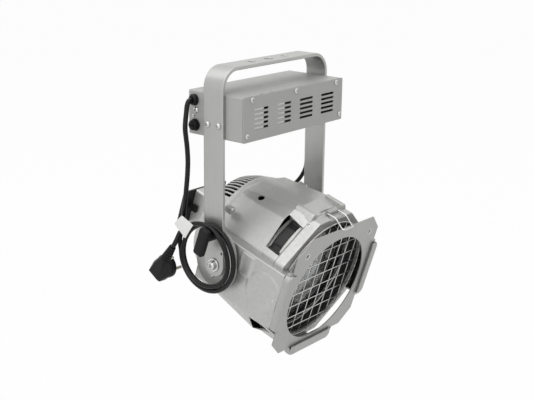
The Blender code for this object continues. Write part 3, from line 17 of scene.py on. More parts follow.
import bmesh
import bpy
import numpy as np
from mathutils import Matrix, Vector
from mathutils.geometry import delaunay_2d_cdt
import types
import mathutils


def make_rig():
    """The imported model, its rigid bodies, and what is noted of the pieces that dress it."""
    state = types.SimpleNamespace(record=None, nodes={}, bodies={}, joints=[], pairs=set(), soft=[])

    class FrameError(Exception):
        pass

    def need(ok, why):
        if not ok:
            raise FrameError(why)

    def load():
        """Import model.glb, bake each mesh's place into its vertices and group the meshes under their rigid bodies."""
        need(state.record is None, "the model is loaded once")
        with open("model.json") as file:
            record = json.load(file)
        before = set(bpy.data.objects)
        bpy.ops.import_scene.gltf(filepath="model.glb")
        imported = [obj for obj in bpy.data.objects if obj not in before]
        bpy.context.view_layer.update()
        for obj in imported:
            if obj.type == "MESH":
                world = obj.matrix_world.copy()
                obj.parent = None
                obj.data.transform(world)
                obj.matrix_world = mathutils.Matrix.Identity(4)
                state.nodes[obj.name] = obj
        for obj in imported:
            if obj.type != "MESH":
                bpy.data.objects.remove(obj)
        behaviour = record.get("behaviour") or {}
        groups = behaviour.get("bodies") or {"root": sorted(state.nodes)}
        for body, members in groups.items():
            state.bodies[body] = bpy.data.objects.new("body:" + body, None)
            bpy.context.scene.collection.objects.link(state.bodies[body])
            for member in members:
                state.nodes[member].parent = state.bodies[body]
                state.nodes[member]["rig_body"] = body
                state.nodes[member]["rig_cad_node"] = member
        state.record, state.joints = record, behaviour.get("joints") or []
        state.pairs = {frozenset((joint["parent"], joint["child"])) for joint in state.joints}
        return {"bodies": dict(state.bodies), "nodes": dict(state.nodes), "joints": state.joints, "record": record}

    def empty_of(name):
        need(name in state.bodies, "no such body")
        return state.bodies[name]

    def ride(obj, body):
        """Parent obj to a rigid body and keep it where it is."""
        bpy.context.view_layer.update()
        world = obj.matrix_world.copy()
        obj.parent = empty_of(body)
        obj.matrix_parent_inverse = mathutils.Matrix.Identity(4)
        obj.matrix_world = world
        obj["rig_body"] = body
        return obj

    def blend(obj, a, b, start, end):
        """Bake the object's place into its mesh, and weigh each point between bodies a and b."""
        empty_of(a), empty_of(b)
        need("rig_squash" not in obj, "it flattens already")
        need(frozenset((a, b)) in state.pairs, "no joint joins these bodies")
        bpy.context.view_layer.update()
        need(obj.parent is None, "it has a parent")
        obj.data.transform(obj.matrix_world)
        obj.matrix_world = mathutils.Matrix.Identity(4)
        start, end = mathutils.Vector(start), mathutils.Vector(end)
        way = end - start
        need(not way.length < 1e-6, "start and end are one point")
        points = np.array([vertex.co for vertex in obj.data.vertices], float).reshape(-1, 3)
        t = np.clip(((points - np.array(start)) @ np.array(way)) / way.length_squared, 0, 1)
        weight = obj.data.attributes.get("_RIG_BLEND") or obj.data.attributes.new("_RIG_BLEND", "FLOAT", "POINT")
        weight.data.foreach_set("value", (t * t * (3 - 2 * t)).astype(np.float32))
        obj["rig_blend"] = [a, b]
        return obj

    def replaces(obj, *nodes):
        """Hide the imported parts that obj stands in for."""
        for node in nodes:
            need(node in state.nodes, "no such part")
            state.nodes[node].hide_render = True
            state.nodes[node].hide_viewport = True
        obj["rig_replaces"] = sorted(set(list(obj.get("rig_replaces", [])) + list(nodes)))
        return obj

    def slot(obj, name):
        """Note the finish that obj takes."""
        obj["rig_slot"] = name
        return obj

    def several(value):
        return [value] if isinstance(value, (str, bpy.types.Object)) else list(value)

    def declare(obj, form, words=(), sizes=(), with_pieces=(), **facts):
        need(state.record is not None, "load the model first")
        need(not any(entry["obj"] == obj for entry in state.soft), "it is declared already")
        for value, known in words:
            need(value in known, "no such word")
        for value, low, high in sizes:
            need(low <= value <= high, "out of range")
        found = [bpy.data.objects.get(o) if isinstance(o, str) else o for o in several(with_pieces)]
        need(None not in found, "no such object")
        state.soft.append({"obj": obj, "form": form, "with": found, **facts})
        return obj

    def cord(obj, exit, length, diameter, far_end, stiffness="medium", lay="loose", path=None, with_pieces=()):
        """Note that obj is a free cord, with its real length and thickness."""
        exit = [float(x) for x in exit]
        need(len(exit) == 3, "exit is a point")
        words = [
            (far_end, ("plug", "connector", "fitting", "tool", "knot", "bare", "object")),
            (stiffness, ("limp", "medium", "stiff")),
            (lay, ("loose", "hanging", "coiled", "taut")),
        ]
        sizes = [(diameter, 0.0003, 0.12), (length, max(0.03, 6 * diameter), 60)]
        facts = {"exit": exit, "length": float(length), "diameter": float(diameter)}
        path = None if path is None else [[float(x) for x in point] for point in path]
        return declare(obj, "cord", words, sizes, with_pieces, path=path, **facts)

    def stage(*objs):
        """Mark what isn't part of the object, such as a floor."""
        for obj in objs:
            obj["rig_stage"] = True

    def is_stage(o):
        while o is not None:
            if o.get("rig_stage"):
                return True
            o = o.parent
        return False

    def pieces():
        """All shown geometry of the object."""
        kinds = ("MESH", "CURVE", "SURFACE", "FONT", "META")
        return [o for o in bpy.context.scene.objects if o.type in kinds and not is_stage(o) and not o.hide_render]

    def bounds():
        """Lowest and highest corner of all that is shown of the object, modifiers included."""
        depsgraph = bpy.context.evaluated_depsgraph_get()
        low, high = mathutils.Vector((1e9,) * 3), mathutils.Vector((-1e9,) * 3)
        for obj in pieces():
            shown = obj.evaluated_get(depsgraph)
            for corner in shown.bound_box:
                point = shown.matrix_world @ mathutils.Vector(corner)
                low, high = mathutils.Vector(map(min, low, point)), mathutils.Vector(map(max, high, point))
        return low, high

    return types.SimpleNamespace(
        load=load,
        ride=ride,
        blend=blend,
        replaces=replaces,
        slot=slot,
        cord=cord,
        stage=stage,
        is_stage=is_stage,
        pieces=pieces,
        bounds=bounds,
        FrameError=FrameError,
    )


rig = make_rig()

log = logging.getLogger("spotlight")
Array = np.ndarray
Piece = bpy.types.Object
Point = Sequence[float]
Law = Callable[[Array, Array, Array], Array]

QUARTER, TURN = math.pi / 2, 2 * math.pi
# Corners nearer to each other than WELD are one, and edges shorter than SLIVER are dropped.
WELD, SLIVER = 1e-6, 1e-7
LEG_X = 0.117
PIVOT_Z = -0.2786
HEAD = Matrix.Translation((0, 0, PIVOT_Z)) @ Matrix.Rotation(math.radians(17.3), 4, "X")
ALONG_BEAM = Matrix.Rotation(-QUARTER, 4, "X")
SIDES = ((-1, "left"), (1, "right"))
ENDS = ((1, "upper"), (-1, "lower"))


class Body(str, Enum):
    """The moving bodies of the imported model."""

    YOKE = "yoke"
    HEAD = "head"
    CAP = "lamp_cap"
    LATCH = "cap_latch"
    LENS = "lens_unit"
    BAIL = "frame_retainer"
    FUSE = "fuse_cap"
    LEVER = "tilt_lever"


class Slot(str, Enum):
    """The record's material slots."""

    SATIN = "satin_aluminium"
    CASTING = "polished_casting"
    PAINT = "grey_paint"
    STEEL = "zinc_steel"
    MIRROR = "bright_aluminium"
    PLASTIC = "black_plastic"
    RUBBER = "black_rubber"
    PAPER = "white_paper"
    CERAMIC = "white_ceramic"
    GLASS = "clear_glass"
    BRASS = "nickel_brass"


def linear(code: str) -> tuple[float, float, float, float]:
    """An sRGB hex colour as linear RGBA.

    Args:
        code: six hex digits.

    Returns:
        Four floats, alpha 1.
    """
    parts = [int(code[i : i + 2], 16) / 255 for i in (0, 2, 4)]
    red, green, blue = (c / 12.92 if c <= 0.04045 else ((c + 0.055) / 1.055) ** 2.4 for c in parts)
    return (red, green, blue, 1.0)


def add_node(tree: bpy.types.NodeTree, kind: str, settings: dict | None = None,
             links: dict | None = None) -> bpy.types.Node:
    """Add one node with its settings and links.

    Args:
        tree: node tree that takes it.
        kind: Blender's name of the node, less the ShaderNode that all begin with.
        settings: input values by the input's name or number, or properties of the node.
        links: sources by the name or number of the input that they feed.

    Returns:
        The new node.
    """
    made = tree.nodes.new("ShaderNode" + kind)
    for key, value in (settings or {}).items():
        if isinstance(key, int) or key in made.inputs:
            made.inputs[key].default_value = value
        else:
            setattr(made, key, value)
    for key, source in (links or {}).items():
        tree.links.new(source, made.inputs[key])
    return made


class Grain(Enum):
    """Whether a surface has a fine pattern, and whether rolling drew it out lengthwise."""

    NONE = "none"
    EVEN = "even"
    ROLLED = "rolled"


@dataclass(frozen=True)
class Finish:
    """One finish: what the material is, the record slot that it is drawn from and what its surface shows.

    The grain's size is in millimetres. Where the real one is finer than a pixel of the render, it is
    drawn as coarse as it has to be to show, and the comment at the finish says so.
    """

    name: str
    slot: Slot
    colour: str
    roughness: float
    metallic: float = 0.0
    grain: Grain = Grain.EVEN
    grain_mm: float = 1.0
    contrast: float = 0.06
    bump: float = 0.05
    spread: float = 0.05
    transmission: float = 0.0
    ior: float = 1.5

    def build(self) -> bpy.types.Material:
        """The finish as a node material: fine grain and half a slow cloud shade colour and roughness.

        Returns:
            The material.
        """
        made = bpy.data.materials.new(self.name)
        made.use_nodes = True
        tree = made.node_tree
        shader = tree.nodes["Principled BSDF"]
        colour = linear(self.colour)
        for name, value in (("Base Color", colour), ("Metallic", self.metallic), ("IOR", self.ior),
                            ("Roughness", self.roughness), ("Transmission Weight", self.transmission)):
            shader.inputs[name].default_value = value
        if self.grain is Grain.NONE:
            return made
        where = add_node(tree, "TexCoord")
        rolled = self.grain is Grain.ROLLED
        scale = tuple(1000 / self.grain_mm * s for s in ((0.02, 1.0, 1.0) if rolled else (1.0, 1.0, 1.0)))
        placed = add_node(tree, "Mapping", {"Scale": scale},
                          {"Vector": where.outputs["UV" if rolled else "Object"]})
        fine = add_node(tree, "TexNoise", {"Scale": 1.0, "Detail": 3.0, "Roughness": 0.55},
                        {"Vector": placed.outputs[0]})
        cloud = add_node(tree, "TexNoise", {"Scale": 38.0, "Detail": 2.0},
                         {"Vector": where.outputs["Object"]})
        both = add_node(tree, "Math", {"operation": "MULTIPLY_ADD", 1: 0.5},
                        {0: cloud.outputs[0], 2: fine.outputs[0]})
        span = {"From Min": 0.55, "From Max": 1.05}
        shade = add_node(tree, "MapRange", {**span, "To Min": 1 - self.contrast, "To Max": 1 + self.contrast},
                         {"Value": both.outputs[0]})
        tone = add_node(tree, "VectorMath", {"operation": "SCALE", 0: colour[:3]},
                        {"Scale": shade.outputs[0]})
        gloss = add_node(tree, "MapRange", {**span, "To Min": self.roughness + self.spread,
                                            "To Max": max(self.roughness - self.spread, 0.02)},
                         {"Value": both.outputs[0]})
        relief = add_node(tree, "Bump", {"Strength": self.bump, "Distance": 0.0004},
                          {"Height": fine.outputs[0]})
        for name, node in (("Base Color", tone), ("Roughness", gloss), ("Normal", relief)):
            tree.links.new(node.outputs[0], shader.inputs[name])
        return made


# Extruded flat bar, satin anodised: soft grey lustre with faint lines along the bar. The real lines are
# about 0.1 mm apart, drawn at 1.1 mm.
BAR = Finish("anodised_aluminium_bar", Slot.SATIN, "b2b2b0", 0.36, 0.85, Grain.ROLLED, 1.1, 0.045, 0.04)
# Rolled sheet, anodised and matt: even grey, a little darker at a flat angle.
SHEET = Finish("anodised_aluminium_sheet", Slot.SATIN, "b2b2b0", 0.48, 0.5, Grain.EVEN, 3.0, 0.03, 0.03)
# Tumbled die casting: bright on ridges, cloudy on the flats.
CASTING = Finish("tumbled_aluminium_casting", Slot.CASTING, "bcbcba", 0.4, 0.65, Grain.EVEN, 5.0, 0.05,
                 0.07, 0.07)
# Inside of the casting, as cast: its dark grey is painted shade, standing in for the shade inside the hollow shell.
CASTING_INSIDE_SHADE = Finish("casting_inside_painted_shade", Slot.CASTING, "3a3a39", 0.62, 0.6, Grain.EVEN, 4.0,
                        0.1, 0.1)
# Silver-grey powder coat on folded sheet: fine orange peel of 0.5 mm, drawn at 1.2 mm.
PAINT = Finish("silver_powder_coat", Slot.PAINT, "aeaeac", 0.46, 0.25, Grain.EVEN, 1.2, 0.03, 0.06)
# Zinc-plated steel: bright screws and wire.
STEEL = Finish("zinc_plated_steel", Slot.STEEL, "cdcdcb", 0.26, 1.0, Grain.EVEN, 0.6, 0.06, 0.03)
# Brightened, anodised spun reflector.
MIRROR = Finish("brightened_reflector_aluminium", Slot.MIRROR, "868686", 0.09, 1.0, Grain.EVEN, 8.0, 0.02,
                0.03, 0.02)
# Glass-filled nylon: matt black, slightly grey where light grazes it.
NYLON = Finish("black_glass_filled_nylon", Slot.PLASTIC, "0d0d0d", 0.46, 0.0, Grain.EVEN, 0.8, 0.12, 0.1,
               ior=1.33)
# Heat-resistant moulding of the lens ring: dark grey and matt.
RING = Finish("dark_grey_phenolic_moulding", Slot.PLASTIC, "303030", 0.52, 0.0, Grain.EVEN, 1.0, 0.08, 0.08,
              ior=1.42)
# PVC sheath: smooth black with a soft gloss.
SHEATH = Finish("black_pvc_sheath", Slot.RUBBER, "090909", 0.28, 0.0, Grain.EVEN, 1.5, 0.1, 0.05, ior=1.36)
# Vinyl-coated paper flag.
PAPER = Finish("coated_paper", Slot.PAPER, "efefed", 0.62, 0.0, Grain.EVEN, 0.7, 0.02, 0.08)
# Glazed ceramic of the lamp holder and the burner.
CERAMIC = Finish("glazed_ceramic", Slot.CERAMIC, "e6e3db", 0.3, 0.0, Grain.EVEN, 2.0, 0.02, 0.02)
# Pressed borosilicate glass.
GLASS = Finish("pressed_borosilicate_glass", Slot.GLASS, "f4f6f6", 0.03, grain=Grain.NONE, transmission=1.0,
               ior=1.47)
# Nickel plating on turned brass pins.
NICKEL = Finish("nickel_plated_brass", Slot.BRASS, "c6c2b8", 0.24, 1.0, Grain.EVEN, 0.8, 0.04, 0.02)
# Black enamelled sheet.
ENAMEL = Finish("black_enamelled_sheet", Slot.PLASTIC, "141414", 0.44, 0.0, Grain.EVEN, 1.2, 0.08, 0.06,
                ior=1.42)
# Epoxy potting of the ballast.
POTTING = Finish("grey_epoxy_potting", Slot.PLASTIC, "6b6b68", 0.55, 0.0, Grain.EVEN, 3.0, 0.06, 0.08)
# Whitened bracket sheet behind the louvres.
BRACKET = Finish("white_primed_sheet", Slot.STEEL, "f6f6f4", 0.5, 0.0, Grain.EVEN, 1.5, 0.02, 0.05)

SLOT_FINISH = {finish.slot: finish for finish in (
    SHEET, CASTING, PAINT, STEEL, MIRROR, NYLON, SHEATH, PAPER, CERAMIC, GLASS, NICKEL)}
NODE_FINISH = {"ballast_module": POTTING, "back_plate": ENAMEL}


@dataclass
class Shell:
    """A surface before it is a mesh: corner places, faces by corner number, and flat places if it has any."""

    vertices: Array
    faces: list[Sequence[int]]
    flat: Array | None = None

    def moved(self, matrix: Matrix) -> "Shell":
        """The same shell under a rigid or affine change of place."""
        m = np.array(matrix)
        return Shell(self.vertices @ m[:3, :3].T + m[:3, 3], self.faces, self.flat)


def joined(*shells: Shell) -> Shell:
    """Several shells as one, not welded and without flat places.

    Args:
        shells: the shells, in order.

    Returns:
        One shell.
    """
    starts = np.cumsum([0] + [len(shell.vertices) for shell in shells])
    faces = [tuple(np.asarray(f) + start) for shell, start in zip(shells, starts) for f in shell.faces]
    return Shell(np.vstack([shell.vertices for shell in shells]), faces)


def stack(*columns: Array | float) -> Array:
    """Coordinates side by side, as an array of places."""
    return np.stack(np.broadcast_arrays(*columns), -1)


def around(count: int) -> Array:
    """Evenly spaced angles of one turn."""
    return np.linspace(0, TURN, count, endpoint=False)


def grid_faces(rows: int, columns: int, wrap: bool = False, loop: bool = False) -> Array:
    """Corner numbers of a grid's four-sided faces: row i, column j is corner i * columns + j.

    Args:
        rows: number of rows.
        columns: number of columns.
        wrap: whether the last column meets the first.
        loop: whether the last row meets the first.

    Returns:
        An array of shape (faces, 4), in row order.
    """
    i = np.arange(rows if loop else rows - 1)[:, None]
    j = np.arange(columns if wrap else columns - 1)[None, :]
    below, right = (i + 1) % rows, (j + 1) % columns
    corners = (i * columns + j, i * columns + right, below * columns + right, below * columns + j)
    return stack(*corners).reshape(-1, 4)


def grid_shell(grid: Array, wrap: bool = False, loop: bool = False, keep: Array | None = None,
               caps: Sequence[int] = ()) -> Shell:
    """A shell through a grid of places.

    Args:
        grid: places, shape (rows, columns, 3).
        wrap: whether the columns close on themselves.
        loop: whether the rows do.
        keep: one truth value per face, false where the shell is open.
        caps: rows, 0 or -1, that are closed by one flat face.

    Returns:
        The shell.
    """
    rows, columns = grid.shape[:2]
    faces = grid_faces(rows, columns, wrap, loop)
    if keep is not None:
        faces = faces[keep.reshape(-1)]
    ends = [list(range(row % rows * columns, (row % rows + 1) * columns)) for row in caps]
    return Shell(grid.reshape(-1, 3), faces.tolist() + ends)


def rings(rows: Sequence[tuple[float, Array]]) -> Array:
    """A grid of outlines (x, z), each at its own y."""
    return np.array([stack(outline[:, 0], y, outline[:, 1]) for y, outline in rows])


def pointing(way: Point, at: Point) -> Matrix:
    """A change of place that puts Z along a direction and the origin at a point."""
    return Matrix.Translation(at) @ Vector(way).to_track_quat("Z", "Y").to_matrix().to_4x4()


def lathe(profile: Sequence[Point], sides: int = 32, loop: bool = False, wave: Law | None = None) -> Shell:
    """A turned shape about Z: place(a, t) = (r cos t, r sin t, a) for each profile point (a, r).

    Args:
        profile: (place along the axis, radius); a radius of 0 closes the end.
        sides: points round the axis.
        loop: whether the profile closes on itself.
        wave: takes place, radius and angle and gives the radius there, for ribs and flats.

    Returns:
        The shell.
    """
    points, angle = np.array(profile, float), around(sides)[None, :]
    along, radius = points[:, :1] + 0 * angle, points[:, 1:] + 0 * angle
    if wave is not None:
        radius = wave(along, radius, angle + 0 * along)
    return grid_shell(stack(radius * np.cos(angle), radius * np.sin(angle), along), wrap=True, loop=loop)


def turned(profile: Sequence[Point], way: Point, at: Point, sides: int = 24, **more: object) -> Shell:
    """A lathe shape that stands on a point and points along a way."""
    return lathe(profile, sides, **more).moved(pointing(way, at))


def rod(radius: float, half: float, way: Point, at: Point, sides: int = 24) -> Shell:
    """A round bar through a point, half of its length on either side."""
    return turned([(-half, 0), (-half, radius), (half, radius), (half, 0)], way, at, sides)


def corner_turn(steps: int) -> tuple[Array, Array, Array]:
    """Angles of a turn that stops for a step at each quarter, for round corners.

    Args:
        steps: parts of each quarter.

    Returns:
        The angles, and for each the side in x and in y that its corner lies on.
    """
    turn = np.concatenate([np.linspace(q, q + 1, steps + 1) for q in range(4)]) * QUARTER
    quarter = np.repeat(np.arange(4), steps + 1)
    return turn, np.where((quarter == 0) | (quarter == 3), 1, -1), np.where(quarter < 2, 1, -1)


def rounded_box(size: Point, radius: float, steps: int = 1, at: Point = (0, 0, 0)) -> Shell:
    """A box with round edges: a ball of the edge's radius whose eight parts are moved out to the corners.

    Args:
        size: full width, depth and height.
        radius: radius of every edge.
        steps: parts of each quarter turn.
        at: its middle.

    Returns:
        The shell.
    """
    hx, hy, hz = (s / 2 - radius for s in size)
    turn, sx, sy = corner_turn(steps)
    rise = QUARTER * np.concatenate([np.linspace(-1, 0, steps + 1), np.linspace(0, 1, steps + 1)])[:, None]
    sz, reach = np.repeat([-1, 1], steps + 1)[:, None], radius * np.cos(rise)
    grid = stack(sx * hx + reach * np.cos(turn), sy * hy + reach * np.sin(turn),
                 sz * hz + radius * np.sin(rise))
    low, high = (np.zeros((1, len(turn), 3)) + (0, 0, s * size[2] / 2) for s in (-1, 1))
    return grid_shell(np.concatenate([low, grid, high]), wrap=True).moved(Matrix.Translation(at))


def pan_head(radius: float, height: float, turn: float, way: Point, at: Point) -> Shell:
    """A pan-head screw's head with a cross recess: its height is h (1 - 0.55 (r/R)^4), less 0.45 h where r
    is under 0.55 R and |x| or |y| is under 0.13 R.

    Args:
        radius: head radius.
        height: head height.
        turn: angle of the cross.
        way: where it points.
        at: middle of its seat.

    Returns:
        The shell.
    """
    r = np.array([0, 0.08, 0.16, 0.24, 0.34, 0.44, 0.52, 0.58, 0.7, 0.82, 0.91, 0.97, 1.0])[:, None] * radius
    t = around(48)[None]
    cross = np.minimum(np.abs(r * np.cos(t + turn)), np.abs(r * np.sin(t + turn))) < 0.13 * radius
    z = height * (1 - 0.55 * (r / radius) ** 4) - np.where(cross & (r < 0.55 * radius), height * 0.45, 0)
    grid = stack(r * np.cos(t), r * np.sin(t), z)
    grid = np.concatenate([grid, grid[-1:] * (1, 1, 0), np.zeros((1, 48, 3))])
    return grid_shell(grid, wrap=True).moved(pointing(way, at))


def socket_head(radius: float, height: float) -> Shell:
    """A button head with a hexagon socket: rings go over the dome, then the inner ones follow a hexagon down.

    Args:
        radius: head radius.
        height: head height.

    Returns:
        The shell, on the plane z = 0.
    """
    t = around(48)
    hexagon = 1 / np.cos((t + math.pi / 6) % (math.pi / 3) - math.pi / 6)
    rows = ((0, 0, 0), (1, 0, 0), (1, 0.25, 0), (0.93, 0.62, 0), (0.78, 0.9, 0), (0.6, 1, 0), (0.42, 1, 1),
            (0.38, 0.94, 1), (0.38, 0.4, 1), (0, 0.4, 1))
    grid = [stack(radius * r * np.where(h, hexagon, 1) * np.cos(t),
                  radius * r * np.where(h, hexagon, 1) * np.sin(t), height * z) for r, z, h in rows]
    return grid_shell(np.array(grid), wrap=True)


def smooth_path(points: Sequence[Point], spacing: float) -> Array:
    """Evenly spaced places on a Catmull-Rom curve through the points.

    Args:
        points: places that the path goes through.
        spacing: distance between places.

    Returns:
        Places, shape (n, 3).
    """
    p = np.array(points, float)
    p = np.vstack([2 * p[0] - p[1], p, 2 * p[-1] - p[-2]])
    t = np.linspace(0, 1, 24, endpoint=False)[None, :, None]
    a, b, c, d = (p[k : len(p) - 3 + k][:, None] for k in range(4))
    fine = 0.5 * (2 * b + (c - a) * t + (2 * a - 5 * b + 4 * c - d) * t**2 + (3 * b - a - 3 * c + d) * t**3)
    fine = np.vstack([fine.reshape(-1, 3), p[-2]])
    reach = np.concatenate([[0], np.cumsum(np.linalg.norm(np.diff(fine, axis=0), axis=1))])
    even = np.linspace(0, reach[-1], max(int(round(reach[-1] / spacing)), 2) + 1)
    return stack(*(np.interp(even, reach, fine[:, k]) for k in range(3)))


def length_of(path: Array) -> float:
    """Length of a path along its places."""
    return float(np.linalg.norm(np.diff(path, axis=0), axis=1).sum())


def tube(path: Array, radius: float, sides: int, closed: bool = False) -> Shell:
    """A round tube: place(s, t) = path(s) + r (cos t n + sin t b), with n and b carried along untwisted.

    Args:
        path: centre line, shape (n, 3).
        radius: tube radius.
        sides: points round the tube.
        closed: whether the path is a loop.

    Returns:
        The shell, its ends closed where the path is open.
    """
    way = np.roll(path, -1, 0) - np.roll(path, 1, 0) if closed else np.gradient(path, axis=0)
    way /= np.linalg.norm(way, axis=1)[:, None]
    normal = np.zeros_like(way)
    carried = np.cross(way[0], (0.3, 0.5, 0.8))
    for i in range(len(path)):
        carried = carried - way[i] * (carried @ way[i]) if i else carried
        carried = carried / np.linalg.norm(carried)
        normal[i] = carried
    t = around(sides)[None, :, None]
    grid = path[:, None] + radius * (np.cos(t) * normal[:, None] + np.sin(t) * np.cross(way, normal)[:, None])
    if not closed:
        first, last = (np.repeat(path[k][None, None], sides, 1) for k in (0, -1))
        grid = np.concatenate([first, grid, last])
    return grid_shell(grid, wrap=True, loop=closed)


def inset(loop: Array, by: float) -> Array:
    """An outline moved to its left by a distance, with mitred corners.

    Args:
        loop: closed outline, shape (n, 2).
        by: distance, towards the material of an outer loop that runs anticlockwise.

    Returns:
        The moved outline.
    """
    before, after = loop - np.roll(loop, 1, 0), np.roll(loop, -1, 0) - loop
    before /= np.linalg.norm(before, axis=1)[:, None]
    after /= np.linalg.norm(after, axis=1)[:, None]
    first, second = stack(-before[:, 1], before[:, 0]), stack(-after[:, 1], after[:, 0])
    return loop + by * (first + second) / np.maximum(1 + np.sum(first * second, 1), 0.3)[:, None]


def inside(points: Array, loop: Array) -> Array:
    """Whether each point lies within a closed outline, by counting the crossings to its right.

    Args:
        points: places, shape (n, 2).
        loop: the outline.

    Returns:
        One truth value per point.
    """
    x, y = points[:, 0][:, None], points[:, 1][:, None]
    a, b = loop[None], np.roll(loop, -1, 0)[None]
    crosses = (a[..., 1] > y) != (b[..., 1] > y)
    rise = np.where(b[..., 1] == a[..., 1], 1e-12, b[..., 1] - a[..., 1])
    return (crosses & (x < a[..., 0] + (b[..., 0] - a[..., 0]) * (y - a[..., 1]) / rise)).sum(1) % 2 == 1


def within(points: Array, outer: Array, holes: Sequence[Array]) -> Array:
    """Whether each point lies within the outline and in none of the holes."""
    return inside(points, outer) & ~np.any([inside(points, hole) for hole in holes] or [[False]], axis=0)


def denser(loop: Array, step: float) -> Array:
    """An outline whose sides are parted into lengths of at most the step.

    Args:
        loop: closed outline.
        step: the longest length.

    Returns:
        The outline with more points.
    """
    ends = np.roll(loop, -1, 0)
    parts = np.maximum(np.ceil(np.linalg.norm(ends - loop, axis=1) / step).astype(int), 1)
    which = np.repeat(np.arange(len(loop)), parts)
    share = (np.arange(parts.sum()) - np.repeat(np.cumsum(parts) - parts, parts)) / parts[which]
    return loop[which] + (ends - loop)[which] * share[:, None]


def circle(radius: float, centre: Point = (0, 0), sides: int = 32) -> Array:
    """A round hole's outline, which runs clockwise."""
    return stack(centre[0] + radius * np.cos(-around(sides)), centre[1] + radius * np.sin(-around(sides)))


def rectangle(width: float, height: float, radius: float, centre: Point = (0, 0), steps: int = 4) -> Array:
    """A rectangle with round corners, anticlockwise.

    Args:
        width: full width.
        height: full height.
        radius: corner radius.
        centre: its middle.
        steps: parts of each corner.

    Returns:
        The outline.
    """
    turn, sx, sy = corner_turn(steps)
    return stack(centre[0] + sx * (width / 2 - radius) + radius * np.cos(turn),
                 centre[1] + sy * (height / 2 - radius) + radius * np.sin(turn))


def upright(y: float, out: int = -1) -> Law:
    """Where a plate's places a, b and w go when it stands across the beam at y and faces out."""
    return lambda a, b, w: stack(a, y + out * w, b)


def plate(outer: Array, holes: Sequence[Array], thickness: float, edge: float, place: Law,
          spacing: float = 0.0) -> Shell:
    """A plate with holes and round edges: its flat faces are triangles inside the outlines, and each outline
    carries a rim of rings at inset e (1 - cos t) and depth T/2 - e (1 - sin t).

    Args:
        outer: outline, anticlockwise.
        holes: hole outlines, clockwise.
        thickness: full thickness.
        edge: radius of the edges.
        place: takes flat coordinates a, b and height w, and gives places of shape (n, 3).
        spacing: distance between extra points on the faces, for plates that are bent; 0 for none.

    Returns:
        The shell, with a and b kept as its flat places.
    """
    loops = [outer, *holes]
    rims = [(edge * (1 - math.cos(t)), thickness / 2 - edge * (1 - math.sin(t)))
            for t in np.linspace(math.pi / 2, 0, 4)]
    rims = rims + [(d, -h) for d, h in reversed(rims)]
    faces_in = [inset(loop, rims[0][0]) for loop in loops]
    points = np.vstack(faces_in)
    if spacing:
        low, high = outer.min(0), outer.max(0)
        a, b = np.meshgrid(np.arange(low[0], high[0], spacing),
                           np.arange(low[1], high[1], spacing) + spacing / 2)
        extra = stack(a.ravel(), b.ravel())
        free = within(extra, inset(outer, spacing * 0.6), [inset(hole, spacing * 0.6) for hole in holes])
        points = np.vstack([points, extra[free]])
    sizes = [len(loop) for loop in loops]
    starts = np.concatenate([[0], np.cumsum(sizes)])
    edges = [(int(s + i), int(s + (i + 1) % n)) for s, n in zip(starts, sizes) for i in range(n)]
    found = delaunay_2d_cdt([Vector(p) for p in points], edges, [], 0, SLIVER)
    flat, triangles = (np.array([tuple(v) for v in found[k]]) for k in (0, 2))
    triangles = triangles[within(flat[triangles].mean(1), faces_in[0], faces_in[1:])]
    number = np.zeros(len(points), int)
    for here, sources in enumerate(found[3]):
        number[list(sources)] = here
    count = len(flat)
    levels = [(flat, thickness / 2), (flat, -thickness / 2)]
    faces: list[Sequence[int]] = triangles.tolist() + (triangles[:, ::-1] + count).tolist()
    start = 2 * count
    for index, loop in enumerate(loops):
        ids = number[starts[index] : starts[index + 1]]
        rows = [ids]
        for depth, height in rims[1:-1]:
            levels.append((inset(loop, depth), height))
            rows.append(np.arange(start, start + len(loop)))
            start += len(loop)
        rows.append(ids + count)
        faces += np.array(rows).reshape(-1)[grid_faces(len(rows), len(ids), wrap=True)][:, ::-1].tolist()
    a, b, w = np.vstack([stack(ring[:, 0], ring[:, 1], height) for ring, height in levels]).T
    return Shell(place(a, b, w), faces, stack(a, b))


